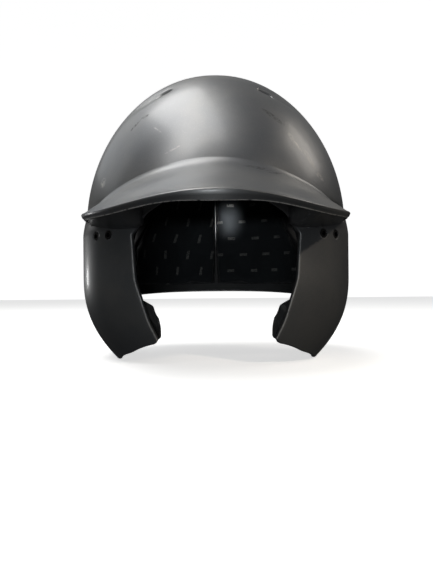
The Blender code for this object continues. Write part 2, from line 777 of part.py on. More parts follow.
def ear_parts(looks):
    for label, side in (("left", 1), ("right", -1)):
        patch = side_of(EAR_PATCH, side)
        ear = cushion(f"{label}_ear_foam", looks["foam"], patch, FOAM_OUTER, EAR_FOAM_THICKNESS)
        radius = EAR_HOLE_RADIUS + EAR_FOAM_HOLE_MARGIN
        apply_boolean(ear, ear_hole(side, radius), "DIFFERENCE")
        jaw = side_of(JAW_PATCH, side)
        name = f"{label}_jaw_pad"
        cushion(name, looks["cloth"], jaw, JAW_OUTER, JAW_PAD_THICKNESS, JAW_EDGE_SHARE)
        strip = jaw.shrunk(JAW_FASTENER_MARGIN)
        name = f"{label}_jaw_pad_fastener"
        cushion(name, looks["fastener"], strip, FOAM_OUTER, FASTENER_THICKNESS)


def face_guard_insert(name, look, side, place):
    """A flanged, bored metal bush in the flap, its flange inside."""
    centre, outward = insert_frame(side, place)
    up = np.array((0.0, 0.0, 1.0))
    sideways = np.cross(up, outward)
    seat = -WALL - INSERT_SEAT_GAP
    profile = [
        (INSERT_BORE_RADIUS, 0.0),
        (INSERT_RADIUS, 0.0),
        (INSERT_RADIUS, seat),
        (INSERT_FLANGE_RADIUS, seat),
        (INSERT_FLANGE_RADIUS, seat - INSERT_FLANGE_THICKNESS),
        (INSERT_BORE_RADIUS, seat - INSERT_FLANGE_THICKNESS),
    ]
    points = []
    for radius, depth in profile:
        for step in range(ROUND_SEGMENTS):
            turn = 2.0 * math.pi * step / ROUND_SEGMENTS
            spread = sideways * math.cos(turn) + up * math.sin(turn)
            points.append(centre + outward * depth + spread * radius)
    faces = grid_faces(len(profile), ROUND_SEGMENTS, 0, wrap=True)
    last = (len(profile) - 1) * ROUND_SEGMENTS
    for step in range(ROUND_SEGMENTS):
        after = (step + 1) % ROUND_SEGMENTS
        faces.append((last + step, last + after, after, step))
    return mesh_object(name, points, faces, look)


def inserts(look):
    for label, side in (("left", 1), ("right", -1)):
        for place in INSERT_ANGLES:
            face_guard_insert(f"{label}_{place}_face_guard_insert", look, side, place)


def centre_on(shell):
    """Slides every piece along Y, so that the origin is under the middle of the shell."""
    depths = [vertex.co.y for vertex in shell.data.vertices]
    middle = (min(depths) + max(depths)) / 2.0
    for piece in bpy.context.scene.objects:
        for vertex in piece.data.vertices:
            vertex.co.y -= middle
        piece.data.update()


def build():
    clear_scene()
    looks = {label: material(*finish) for label, finish in FINISHES.items()}
    shell = outer_shell(looks["shell"])
    liner(looks)
    ear_parts(looks)
    inserts(looks["metal"])
    centre_on(shell)


build()
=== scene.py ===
"""Looks of the double-flap batting helmet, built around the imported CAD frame.

The helmet faces -Y and stands on its ear flaps. Left and right are the wearer's, so left is +X.
"""

import math

import bmesh
import bpy
import numpy as np
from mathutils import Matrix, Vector
from mathutils.bvhtree import BVHTree
from mathutils.kdtree import KDTree


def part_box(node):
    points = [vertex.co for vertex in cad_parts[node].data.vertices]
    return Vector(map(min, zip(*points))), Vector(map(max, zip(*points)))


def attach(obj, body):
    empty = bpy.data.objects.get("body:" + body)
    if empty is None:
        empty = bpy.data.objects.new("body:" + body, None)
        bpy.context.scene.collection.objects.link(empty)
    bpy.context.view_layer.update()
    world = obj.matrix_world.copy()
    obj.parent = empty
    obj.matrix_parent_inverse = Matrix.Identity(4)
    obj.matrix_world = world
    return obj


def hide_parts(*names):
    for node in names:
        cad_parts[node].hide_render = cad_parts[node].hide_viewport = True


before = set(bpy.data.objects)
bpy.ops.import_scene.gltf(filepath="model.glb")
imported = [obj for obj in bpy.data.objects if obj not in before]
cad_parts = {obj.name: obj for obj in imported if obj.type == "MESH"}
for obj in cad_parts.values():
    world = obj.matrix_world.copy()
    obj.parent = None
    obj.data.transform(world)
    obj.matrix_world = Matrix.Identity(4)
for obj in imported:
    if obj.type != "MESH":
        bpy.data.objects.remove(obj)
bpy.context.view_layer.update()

MM = 0.001
LEFT = 1
RIGHT = -1
SIDES = {"left": LEFT, "right": RIGHT}
UP = np.array((0.0, 0.0, 1.0))

# Shell, the same sizes as in the CAD.
DOME_HALF_WIDTH = 100.5 * MM
DOME_FRONT = 120 * MM
DOME_REAR = 121 * MM
DOME_HEIGHT = 119 * MM
DOME_PROFILE = 1.95
DOME_PLAN = 2.15
EQUATOR = 100 * MM
WALL = 3 * MM
FLAP_HALF_WIDTH = 103.5 * MM
FLAP_FRONT = 88 * MM
FLAP_PLAN = 2.6
TUCK_HEIGHT = 62 * MM
SIDE_TUCK = 25.5 * MM
SIDE_TUCK_POWER = 2.4
FRONT_TUCK = 14 * MM
FRONT_TUCK_POWER = 2.0
NAPE_HEIGHT = 52.5 * MM
NAPE_TUCK = 14 * MM
NAPE_TUCK_POWER = 1.6
SIDE_BLEND = (12 * MM, 8 * MM)
FRONT_BLEND = (14 * MM, 7 * MM)
CENTRE_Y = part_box("outer_shell")[1].y - DOME_REAR

# ---------------------------------------------------------------- surface of the shell


def smooth_step(value):
    value = np.clip(value, 0.0, 1.0)
    return value * value * (3.0 - 2.0 * value)


def mix(first, second, share):
    return first + (second - first) * share


def section(height, inset):
    """Half width, front reach, rear reach and roundness of the cross-section at each height."""
    rise = np.clip((height - EQUATOR) / (DOME_HEIGHT - inset), 0.0, 1.0 - 1e-9)
    shrink = (1.0 - rise**DOME_PROFILE) ** (1.0 / DOME_PROFILE)
    side = smooth_step((EQUATOR + SIDE_BLEND[0] - height) / sum(SIDE_BLEND))
    front = smooth_step((EQUATOR + FRONT_BLEND[0] - height) / sum(FRONT_BLEND))
    drop = np.clip((TUCK_HEIGHT - height) / TUCK_HEIGHT, 0.0, None)
    flap_half = FLAP_HALF_WIDTH - inset - SIDE_TUCK * drop**SIDE_TUCK_POWER
    flap_front = FLAP_FRONT - inset - FRONT_TUCK * drop**FRONT_TUCK_POWER
    half = mix((DOME_HALF_WIDTH - inset) * shrink, flap_half, side)
    reach = mix((DOME_FRONT - inset) * shrink, flap_front, front)
    rear_drop = np.clip((EQUATOR - height) / (EQUATOR - NAPE_HEIGHT), 0.0, None)
    rear = (DOME_REAR - inset) * shrink - NAPE_TUCK * rear_drop**NAPE_TUCK_POWER
    return half, reach, rear, mix(DOME_PLAN, FLAP_PLAN, side)


def surface(angle, height, inset=0.0):
    """Points on the shell's outer face moved in by inset. Angle 0 is the front, + turns to +X."""
    angle, height, inset = np.broadcast_arrays(
        np.asarray(angle, float), np.asarray(height, float), np.asarray(inset, float)
    )
    half, reach, rear, plan = section(height, inset)
    across = np.sin(angle)
    along = np.cos(angle)
    depth = np.where(along > 0.0, reach, rear)
    scale = (np.abs(across) / half) ** plan + (np.abs(along) / depth) ** plan
    radius = scale ** (-1.0 / plan)
    return np.stack((radius * across, CENTRE_Y - radius * along, height), -1)


def within(across, along, height, inset):
    """Which points lie inside the shell moved in by inset. Along is from the dome's middle."""
    half, reach, rear, plan = section(height, inset)
    depth = np.where(along < 0.0, reach, rear)
    return (across / half) ** plan + (np.abs(along) / depth) ** plan < 1.0


def level_height(level, inset=0.0):
    """Height of a level: 1 is the apex, 0 the equator, -1 the feet of the flaps."""
    turn = np.clip(level, 0.0, 1.0) * math.pi / 2.0
    above = (DOME_HEIGHT - inset) * np.sin(turn) ** (2.0 / DOME_PROFILE)
    return EQUATOR + above + EQUATOR * np.minimum(level, 0.0)


def height_level(height):
    height = np.asarray(height, float)
    rise = np.clip((height - EQUATOR) / DOME_HEIGHT, 0.0, 1.0)
    above = np.arcsin(rise ** (DOME_PROFILE / 2.0)) * 2.0 / math.pi
    return above + np.minimum(height / EQUATOR - 1.0, 0.0)


def unit(vectors):
    vectors = np.asarray(vectors, float)
    length = np.linalg.norm(vectors, axis=-1, keepdims=True)
    return vectors / np.maximum(length, 1e-12)


# ---------------------------------------------------------------- meshes


def shade_smooth(mesh):
    mesh.polygons.foreach_set("use_smooth", [True] * len(mesh.polygons))


def mesh_object(name, points, faces, look=None):
    mesh = bpy.data.meshes.new(name)
    mesh.from_pydata(np.asarray(points, float).tolist(), [], faces)
    mesh.validate()
    mesh.update()
    shade_smooth(mesh)
    made = bpy.data.objects.new(name, mesh)
    bpy.context.scene.collection.objects.link(made)
    if look is not None:
        mesh.materials.append(look)
    return made


def solid_object(name, points, faces, look=None):
    """A closed piece, with no loose points and every face turned outward."""
    made = mesh_object(name, points, faces, look)
    work = bmesh.new()
    work.from_mesh(made.data)
    loose = [vertex for vertex in work.verts if not vertex.link_faces]
    bmesh.ops.delete(work, geom=loose, context="VERTS")
    bmesh.ops.recalc_face_normals(work, faces=work.faces)
    work.to_mesh(made.data)
    work.free()
    made.data.update()
    return made


def grid_faces(index, flip=False, wrap=False):
    """Quads over a 2-D array of point numbers."""
    index = np.asarray(index)
    if wrap:
        index = np.concatenate((index, index[:, :1]), 1)
    near, after = index[:-1, :-1], index[:-1, 1:]
    far, beyond = index[1:, 1:], index[1:, :-1]
    quads = np.stack((near, after, far, beyond), -1).reshape(-1, 4)
    return (quads[:, ::-1] if flip else quads).tolist()


def evaluated_mesh(obj):
    graph = bpy.context.evaluated_depsgraph_get()
    return bpy.data.meshes.new_from_object(obj.evaluated_get(graph))


def vertex_array(mesh):
    flat = np.empty(len(mesh.vertices) * 3)
    mesh.vertices.foreach_get("co", flat)
    return flat.reshape(-1, 3)


def settle(obj):
    """Applies every modifier on the piece."""
    made = evaluated_mesh(obj)
    obj.modifiers.clear()
    obj.data = made


def cut_away(obj, plug):
    """Cuts the plug out of the piece, then removes the plug."""
    cut = obj.modifiers.new("holes", "BOOLEAN")
    cut.object = plug
    cut.operation = "DIFFERENCE"
    cut.solver = "EXACT"
    settle(obj)
    bpy.data.objects.remove(plug)


def join(target, other):
    """Adds the other piece's mesh to the target, as another closed body."""
    both = [target, other]
    with bpy.context.temp_override(
        active_object=target, selected_editable_objects=both, selected_objects=both
    ):
        bpy.ops.object.join()


def lay_surface_map(obj):
    """A UV map of where each point is on the shell, in metres: way round, and height."""
    mesh = obj.data
    points = vertex_array(mesh)
    angle = np.arctan2(points[:, 0], CENTRE_Y - points[:, 1])
    corner = np.empty(len(mesh.loops), np.int32)
    mesh.loops.foreach_get("vertex_index", corner)
    layer = mesh.uv_layers.new(name="surface_map")
    around = angle[corner]
    total = np.empty(len(mesh.polygons), np.int32)
    mesh.polygons.foreach_get("loop_total", total)
    first = np.repeat(around[np.concatenate(((0,), np.cumsum(total)[:-1]))], total)
    around = around + 2.0 * math.pi * np.round((first - around) / (2.0 * math.pi))
    both = np.stack((around * DOME_HALF_WIDTH, points[corner, 2]), -1)
    layer.data.foreach_set("uv", both.ravel())


# ---------------------------------------------------------------- outer shell

BELT = 90 * MM
FRONT_COLUMNS = 26
REST_COLUMNS = 104
DOME_ROWS = 96
SKIRT_ROWS = 48
RIM_STEPS = 7
RIM_ROUNDING = 0.75 * MM
BROW_LINE = ((0, 111), (30, 111), (48.5, 102.5), (58.5, 90))
CHEEK_LINE = ((0, 40.5), (15, 40.5), (30, 47.5), (59, 56.5), (90, 58.5), (110, 59))
LOWER_LINE = (
    (-200, 59),
    (-76, 15.5),
    (-62, 7.8),
    (-36, 0.75),
    (22, 0.75),
    (40, 14),
    (56, 38),
    (72, 46),
    (121, 52.5),
    (200, 52.5),
)
TIP_HEIGHT = 15.5 * MM
TIP_ROUNDING = 5 * MM


def smooth_line(corners, rounding):
    """The line through the corners with each corner rounded, as dense arrays in metres."""
    corners = np.array(corners, float) * MM
    where = np.arange(corners[0, 0], corners[-1, 0], 0.25 * MM)
    value = np.interp(where, corners[:, 0], corners[:, 1])
    reach = int(rounding / (0.25 * MM))
    window = np.hanning(2 * reach + 1)
    window /= window.sum()
    padded = np.pad(value, reach, mode="reflect", reflect_type="odd")
    return where, np.convolve(padded, window, "valid")


def cheek_angle(height):
    """Angle of the flap's front rim at a height."""
    where, width = smooth_line(CHEEK_LINE, 5 * MM)
    across = np.interp(height, where, width)
    half, reach, _, plan = section(height, 0.0)
    ahead = reach * (1.0 - (across / half) ** plan) ** (1.0 / plan)
    return np.arctan2(across, ahead)


def brow_height(angle):
    """Height of the brow edge at each angle."""
    where, line = smooth_line(BROW_LINE, 5 * MM)
    height = np.full(np.shape(angle), 105 * MM)
    for _ in range(60):
        across = np.abs(surface(angle, height)[..., 0])
        height = mix(height, np.interp(across, where, line), 0.5)
    return height


def lower_height(angle):
    """Height of the shell's lower edge at each angle."""
    where, line = smooth_line(LOWER_LINE, 6 * MM)
    height = np.full(np.shape(angle), 30 * MM)
    for _ in range(60):
        along = surface(angle, height)[..., 1] - CENTRE_Y
        height = mix(height, np.interp(along, where, line), 0.6)
    return height


VENT_X = 36.5 * MM
VENT_Y = -61 * MM
VENT_LENGTH = 13 * MM
VENT_WIDTH = 7 * MM
VENT_TURN = math.radians(-68)
DISH_DEPTH = 2.4 * MM
DISH_CENTRE = (9 * MM, 3.6 * MM)
DISH_SIZE = (13 * MM, 5.5 * MM)


def dish(points):
    """Depth of the moulded dish outside each top vent."""
    total = 0.0
    for side in (LEFT, RIGHT):
        across = points[..., 0] * side - VENT_X - DISH_CENTRE[0]
        along = points[..., 1] - CENTRE_Y - VENT_Y - DISH_CENTRE[1]
        cos, sin = math.cos(VENT_TURN), math.sin(VENT_TURN)
        length = (along * cos - across * sin) / DISH_SIZE[0]
        width = (across * cos + along * sin) / DISH_SIZE[1]
        total = total + np.exp(-(length**2) - width**2)
    return DISH_DEPTH * total * (points[..., 2] > EQUATOR)


def shell_grid():
    """Angles and levels of the dome rows and of the skirt rows, and where the skirt begins."""
    corner = float(cheek_angle(np.array(BELT)))
    tip = float(cheek_angle(np.array(TIP_HEIGHT)))
    front = np.linspace(0.0, corner, FRONT_COLUMNS + 1)
    rest = np.linspace(corner, math.pi, REST_COLUMNS + 1)[1:]
    half = np.concatenate((front, rest))
    angles = np.concatenate((-half[::-1][:-1], half[:-1]))
    middle = FRONT_COLUMNS + REST_COLUMNS
    belt = np.full(len(angles), float(height_level(BELT)))
    ahead = slice(middle - FRONT_COLUMNS, middle + FRONT_COLUMNS + 1)
    belt[ahead] = height_level(brow_height(angles[ahead]))
    share = np.arange(1, DOME_ROWS + 1)[:, None] / DOME_ROWS
    dome_level = mix(1.0, belt[None, :], share)
    dome_angle = np.broadcast_to(angles, dome_level.shape)

    columns = 2 * REST_COLUMNS + 1
    skirt_columns = (middle + FRONT_COLUMNS + np.arange(columns)) % len(angles)
    around = corner + np.arange(columns) / (columns - 1) * 2.0 * (math.pi - corner)
    foot = tip + np.arange(columns) / (columns - 1) * 2.0 * (math.pi - tip)
    foot_level = height_level(lower_height(foot))
    down = np.arange(1, SKIRT_ROWS + 1)[:, None] / SKIRT_ROWS
    skirt_level = mix(belt[skirt_columns][None, :], foot_level[None, :], down)
    skirt_angle = mix(around[None, :], foot[None, :], down)
    rim = cheek_angle(level_height(skirt_level[:, 0]))
    shift = rim - skirt_angle[:, 0]
    from_rim = np.arange(columns) * (2.0 * (math.pi - corner) / (columns - 1))
    near = np.exp(-((from_rim / math.radians(14)) ** 2))
    skirt_angle = skirt_angle + shift[:, None] * (near - near[::-1])[None, :]
    # The front lower corner of each flap is rounded.
    drop = (level_height(skirt_level) - level_height(skirt_level[-1, 0])) / TIP_ROUNDING
    for start, sign in ((skirt_angle[:, :1], 1), (skirt_angle[:, -1:], -1)):
        away = np.abs(skirt_angle - start) * FLAP_FRONT / TIP_ROUNDING
        close = np.clip(1.0 - np.maximum(np.abs(drop), away), 0.0, 1.0) ** 2
        pull = 0.3 * TIP_ROUNDING * close
        skirt_angle = skirt_angle + sign * pull / FLAP_FRONT
        skirt_level = skirt_level + pull / EQUATOR
    return dome_angle, dome_level, skirt_angle, skirt_level, skirt_columns, ahead


def shell_skin():
    """The closed wall, with a rounded rim all the way round its lower edge."""
    dome_angle, dome_level, skirt_angle, skirt_level, joins, ahead = shell_grid()
    points = []
    faces = []
    rims = []
    for inset in (0.0, WALL):
        start = sum(len(block) for block in points)
        dome = surface(dome_angle, level_height(dome_level, inset), inset)
        skirt = surface(skirt_angle, level_height(skirt_level, inset), inset)
        if inset == 0.0:
            centre = np.array((0.0, CENTRE_Y, EQUATOR))
            dome = dome - unit(dome - centre) * dish(dome)[..., None]
        apex = np.array([[0.0, CENTRE_Y, EQUATOR + DOME_HEIGHT - inset]])
        points += [dome.reshape(-1, 3), skirt.reshape(-1, 3), apex]
        upper = start + np.arange(dome_level.size).reshape(dome_level.shape)
        lower = upper[-1, -1] + 1 + np.arange(skirt_level.size).reshape(skirt_level.shape)
        top = int(lower[-1, -1]) + 1
        lower = np.concatenate((upper[-1:, joins], lower))
        flip = inset > 0.0
        faces += grid_faces(upper, flip, wrap=True) + grid_faces(lower, flip)
        ring = np.append(upper[0], upper[0, 0])
        fan = np.stack((np.full(len(ring) - 1, top), ring[:-1], ring[1:]), -1)
        faces += (fan[:, [0, 2, 1]] if flip else fan).tolist()
        edge = [upper[-1, ahead], lower[1:, 0], lower[-1, 1:], lower[-2:0:-1, -1]]
        inner = [upper[-2, ahead], lower[1:, 1], lower[-2, 1:], lower[-2:0:-1, -2]]
        rims.append((np.concatenate(edge), np.concatenate(inner)))
    points = np.concatenate(points)
    outer, inner = points[rims[0][0]], points[rims[1][0]]
    tangent = unit(np.roll(outer, -1, 0) - np.roll(outer, 1, 0))
    across = (outer - inner) / 2.0
    outward = unit(np.cross(tangent, across))
    away = outer - points[rims[0][1]]
    outward *= np.sign((outward * away).sum(-1, keepdims=True))
    middle = (outer + inner) / 2.0
    rows = [rims[0][0]]
    extra = []
    for step in range(1, RIM_STEPS + 1):
        turn = math.pi * step / (RIM_STEPS + 1)
        ring = middle + across * math.cos(turn) + outward * RIM_ROUNDING * math.sin(turn)
        rows.append(len(points) + len(extra) * len(outer) + np.arange(len(outer)))
        extra.append(ring)
    rows.append(rims[1][0])
    faces += grid_faces(np.array(rows), flip=False, wrap=True)
    return np.concatenate((points, *extra)), faces


# ---------------------------------------------------------------- holes

EAR_HEIGHT = 60 * MM
EAR_RADIUS = 17 * MM
REAR_VENT_ANGLE = math.radians(134)
REAR_VENT_HEIGHT = 109 * MM
REAR_VENT_LENGTH = 34 * MM
REAR_VENT_WIDTH = 10 * MM
REAR_VENT_TILT = math.radians(35)
INSERT_ANGLES = (math.radians(47), math.radians(54.5))
INSERT_HEIGHT = 90.5 * MM
INSERT_HOLE = 3.3 * MM
INSERT_ROUNDING = 0.3 * MM
PLUG_MARGIN = 6 * MM
HOLE_ROUNDING = 0.9 * MM
VENT_ROUNDING = 0.5 * MM


def slot_outline(length, width, count=14):
    turn = np.linspace(0.0, math.pi, count)
    straight = (length - width) / 2.0
    end = np.stack((np.cos(turn), np.sin(turn)), -1) * width / 2.0
    return np.concatenate((end + (0, straight), -end - (0, straight)))


def circle(radius, count=48):
    turn = np.arange(count) * 2.0 * math.pi / count
    return np.stack((np.cos(turn), np.sin(turn)), -1) * radius


def turned(outline, angle):
    wheel = np.array(((math.cos(angle), math.sin(angle)), (-math.sin(angle), math.cos(angle))))
    return outline @ wheel


def grown(outline, margin):
    along = np.roll(outline, -1, 0) - np.roll(outline, 1, 0)
    out = unit(np.stack((along[:, 1], -along[:, 0]), -1))
    return outline + out * margin


def hole_rings(outline, place, rounding):
    """A closed plug through the wall that flares at both faces, so the hole's edges are round."""
    return [place(grown(outline, flare), depth) for depth, flare in flare_steps(rounding)]


def flare_steps(rounding):
    """Depth and flare at each ring of a plug that reaches past both faces of the wall."""
    steps = [(-PLUG_MARGIN, rounding)]
    turns = np.linspace(0.0, math.pi / 2.0, 5)
    for turn in turns:
        steps.append((rounding * (1.0 - math.cos(turn)), rounding * (1.0 - math.sin(turn))))
    for turn in turns[::-1]:
        depth = WALL - rounding * (1.0 - math.cos(turn))
        steps.append((depth, rounding * (1.0 - math.sin(turn))))
    steps.append((WALL + PLUG_MARGIN, rounding))
    return steps


def ear_place(side):
    def place(outline, depth):
        along = outline[:, 0]
        height = EAR_HEIGHT + outline[:, 1]
        half, reach, rear, plan = section(height, depth)
        far = np.where(along < 0.0, reach, rear)
        across = half * (1.0 - (np.abs(along) / far) ** plan) ** (1.0 / plan)
        return np.stack((side * across, CENTRE_Y + along, height), -1)

    return place


def rear_place(side):
    def place(outline, depth):
        angle = side * (REAR_VENT_ANGLE + outline[:, 0] / DOME_HALF_WIDTH)
        return surface(angle, REAR_VENT_HEIGHT + outline[:, 1], depth)

    return place


def top_place(side):
    def place(outline, depth):
        x = np.abs(outline[:, 0] + VENT_X)
        y = outline[:, 1] + VENT_Y
        low = np.full(len(x), EQUATOR + 14 * MM)
        high = np.full(len(x), EQUATOR + DOME_HEIGHT - depth - 1e-6)
        for _ in range(40):
            height = (low + high) / 2.0
            inside = within(x, y, height, depth)
            low = np.where(inside, height, low)
            high = np.where(inside, high, height)
        points = np.stack((side * x, CENTRE_Y + y, height), -1)
        centre = np.array((0.0, CENTRE_Y, EQUATOR))
        sink = dish(points) if -1 * MM < depth < WALL / 2.0 else 0.0 * x
        return points - unit(points - centre) * sink[:, None]

    return place


def insert_place(side, angle):
    centre = surface(side * angle, INSERT_HEIGHT)
    step = 0.01
    before = surface(side * angle - step, INSERT_HEIGHT)
    along = unit(surface(side * angle + step, INSERT_HEIGHT) - before)
    outward = np.array((along[1], -along[0], 0.0))
    outward *= np.sign(outward @ (centre - (0.0, CENTRE_Y, 0.0)))

    def place(outline, depth):
        return centre - outward * depth + outline[:, :1] * along + outline[:, 1:] * UP

    return place


def shell_plugs():
    points = []
    faces = []

    def add(rings):
        start = sum(len(ring) for ring in points)
        count = len(rings[0])
        index = start + np.arange(len(rings) * count).reshape(len(rings), count)
        points.extend(rings)
        faces.extend(grid_faces(index, wrap=True))
        faces.append(index[0].tolist())
        faces.append(index[-1][::-1].tolist())

    top = slot_outline(VENT_LENGTH, VENT_WIDTH)
    rear = slot_outline(REAR_VENT_LENGTH, REAR_VENT_WIDTH)
    for side in (LEFT, RIGHT):
        add(hole_rings(circle(EAR_RADIUS, 72), ear_place(side), HOLE_ROUNDING))
        add(hole_rings(turned(top, VENT_TURN), top_place(side), VENT_ROUNDING))
        add(hole_rings(turned(rear, REAR_VENT_TILT), rear_place(side), HOLE_ROUNDING))
        for angle in INSERT_ANGLES:
            add(hole_rings(circle(INSERT_HOLE, 24), insert_place(side, angle), INSERT_ROUNDING))
    return solid_object("plugs", np.concatenate(points), faces)


# ---------------------------------------------------------------- bill

BILL_REACH = 175 * MM
BILL_HALF_ANGLE = math.radians(63)
BILL_EDGE_HEIGHT = 107 * MM
BILL_DROOP = 2 * MM
BILL_SAG = 5 * MM
BILL_ROOT_HEIGHT = 107 * MM
BILL_ROOT_RISE = 25 * MM
BILL_THICKNESS = 3.2 * MM
BILL_BULGE = 1.5 * MM
BILL_PROUD = 1.7 * MM
LIP_SIDE_DROP = 4.2 * MM
LIP_CENTRE_DROP = 2.8 * MM
LIP_SPREAD = 25 * MM
LIP_TOP_ROUNDING = 1.1 * MM
LIP_FOOT_ROUNDING = 0.7 * MM
LIP_BACK = 3.0 * MM
FILLET_ABOVE = 3.5 * MM
FILLET_ALONG = 8 * MM
UNDER_START = 34 * MM
UNDER_SPREAD = 18 * MM
UNDER_LINE = (
    (0, 114),
    (30, 114),
    (46, 108),
    (52, 103.5),
    (58, 96.5),
    (64, 94),
    (75, 94),
    (88, 97),
)
BILL_COLUMNS = 150
BILL_END_COLUMNS = 8
BILL_END_SPREAD = math.radians(3.4)
BILL_END_SINK = 1.2 * MM
BILL_BURIED = 1.6 * MM
FILLET_START_DEPTH = 0.12 * MM
FILLET_SIDE_LIFT = 1.5 * MM
FILLET_MOST_SHARE = 0.55
LIP_LEAN = 1.7 * MM
# The point of a cross-section that is the foot of the lip.
LIP_FOOT_POINT = 28
# Width of the painted highlight and edge wear along the rims.
EDGE_HIGHLIGHT_AND_WEAR_WIDTH = 0.55 * MM


def heading(angle):
    return np.array((math.sin(angle), -math.cos(angle), 0.0))


def lip_line(edge, out, deep):
    """The rolled lip, from its top round its foot to its back."""
    drop = LIP_SIDE_DROP + LIP_CENTRE_DROP * math.exp(-((edge[0] / LIP_SPREAD) ** 2))
    lip = []
    for turn in np.linspace(0.0, math.pi / 2.0, 6):
        away, fall = math.sin(turn) - 1.0, math.cos(turn) - 1.0
        lip.append(edge + (out * away + UP * fall) * LIP_TOP_ROUNDING)
    lip.append(edge - UP * mix(LIP_TOP_ROUNDING, drop, 0.5) - out * LIP_LEAN * 0.4)
    foot = edge - UP * drop - out * LIP_LEAN
    for turn in np.linspace(0.0, math.pi / 2.0, 5):
        away, fall = math.cos(turn) - 1.0, 1.0 - math.sin(turn)
        lip.append(foot + (out * away + UP * fall) * LIP_FOOT_ROUNDING)
    lip.append(foot - out * (LIP_FOOT_ROUNDING + deep * 0.35))
    return lip


def bill_section(turn, end):
    """Closed cross-section of the bill at a turn from its middle. End is 0..1 past the corner."""
    side = math.copysign(1.0, turn)
    spread = side * BILL_END_SPREAD * math.sin(end * math.pi / 2.0)
    angle = turn / (math.pi / 2.0) * BILL_HALF_ANGLE + spread
    reach = math.cos(turn)
    radial = heading(angle)
    corner = surface(BILL_HALF_ANGLE, BILL_EDGE_HEIGHT) + heading(BILL_HALF_ANGLE) * BILL_PROUD
    depth = BILL_REACH + (corner[1] - CENTRE_Y)
    sag = BILL_SAG * math.sin(2.0 * turn) ** 2
    height = BILL_EDGE_HEIGHT - BILL_DROOP * math.sin(turn) ** 2 - sag
    edge = np.array((corner[0] * math.sin(turn), corner[1] - depth * math.cos(turn), height))
    out = unit(np.array((depth * math.sin(turn), -corner[0] * math.cos(turn), 0.0)))
    if end > 0.0:
        wall = surface(angle, height)
        fade = math.cos(end * math.pi / 2.0)
        proud = BILL_PROUD * fade - BILL_END_SINK * (1.0 - fade)
        edge = wall + radial * proud
        out = radial
    root_height = BILL_ROOT_HEIGHT + BILL_ROOT_RISE * reach**2
    lift = FILLET_ABOVE * reach + FILLET_SIDE_LIFT
    start = surface(angle, root_height + lift, FILLET_START_DEPTH)
    crease = surface(angle, root_height)
    run = edge - crease
    length = np.linalg.norm(run)
    along = FILLET_ALONG * (0.3 + 0.7 * reach) / max(length, 1e-6)
    ahead = crease + run * min(FILLET_MOST_SHARE, along)
    top = [
        (1 - share) ** 2 * start + 2 * share * (1 - share) * crease + share**2 * ahead
        for share in np.linspace(0.0, 1.0, 11)
    ]
    for share in np.linspace(0.0, 1.0, 9)[1:-1]:
        bulge = BILL_BULGE * math.sin(share * math.pi) ** 2 * reach
        top.append(mix(ahead, edge - out * LIP_TOP_ROUNDING, share) + UP * bulge)
    deep = min(LIP_BACK, length * 0.5)
    lip = lip_line(edge, out, deep)
    back = edge - out * deep - UP * BILL_THICKNESS
    middle = surface(angle, root_height - BILL_THICKNESS, BILL_BURIED)
    share = smooth_step((abs(middle[0]) - UNDER_START) / UNDER_SPREAD)
    low = float(np.interp(abs(middle[0]), *np.array(UNDER_LINE).T * MM))
    buried = surface(angle, mix(root_height - BILL_THICKNESS, low, share), BILL_BURIED)
    under = [mix(back, buried, share) for share in np.linspace(0.0, 1.0, 9)]
    roof = surface(angle, root_height + lift * 0.8, BILL_BURIED)
    return np.array(top + lip + under + [roof])


def bill_skin():
    turns = [(step, 0.0) for step in np.linspace(-1.0, 1.0, BILL_COLUMNS + 1) * math.pi / 2.0]
    ends = np.linspace(0.0, 1.0, BILL_END_COLUMNS + 1)[1:]
    turns = [(-math.pi / 2.0, end) for end in ends[::-1]] + turns
    turns = turns + [(math.pi / 2.0, end) for end in ends]
    loops = np.array([bill_section(turn, end) for turn, end in turns])
    index = np.arange(loops.shape[0] * loops.shape[1]).reshape(loops.shape[:2])
    faces = grid_faces(index, wrap=True)
    faces.append(index[0].tolist())
    faces.append(index[-1][::-1].tolist())
    return loops.reshape(-1, 3), faces


def mark_edge_highlight_and_wear(obj, edge):
    """Stores how near each point is to an edge that gets a painted highlight and edge wear, 1 on
    it and 0 away from it.
    """
    tree = KDTree(len(edge))
    for number, point in enumerate(edge):
        tree.insert(point, number)
    tree.balance()
    points = vertex_array(obj.data)
    far = np.array([tree.find(point)[2] for point in points])
    layer = obj.data.attributes.new("edge_highlight_and_wear", "FLOAT", "POINT")
    layer.data.foreach_set("value", np.exp(-((far / EDGE_HIGHLIGHT_AND_WEAR_WIDTH) ** 2)))


def densely(line, step=0.3 * MM):
    """The same line with points every step."""
    length = np.concatenate(((0.0,), np.cumsum(np.linalg.norm(np.diff(line, axis=0), axis=-1))))
    where = np.arange(0.0, length[-1], step)
    return np.stack([np.interp(where, length, line[:, axis]) for axis in range(3)], -1)


def edge_highlight_and_wear_lines():
    """The flap's front rims and the foot of the bill's lip, which get a painted highlight and edge
    wear.
    """
    lines = []
    height = np.linspace(4 * MM, 90 * MM, 60)
    for side in (LEFT, RIGHT):
        lines.append(densely(surface(side * cheek_angle(height), height, 0.5 * MM)))
    turns = np.linspace(-1.0, 1.0, BILL_COLUMNS + 1) * math.pi / 2.0
    foot = np.array([bill_section(turn, 0.0)[LIP_FOOT_POINT] for turn in turns])
    lines.append(densely(foot))
    return np.concatenate(lines)


def outer_shell(look):
    points, faces = shell_skin()
    shell = solid_object("helmet_shell", points, faces, look)
    cut_away(shell, shell_plugs())
    join(shell, solid_object("bill", *bill_skin(), look))
    mark_edge_highlight_and_wear(shell, edge_highlight_and_wear_lines())
    shade_smooth(shell.data)
    finish_layer(shell, "outer_shell")


# ---------------------------------------------------------------- layers inside the shell

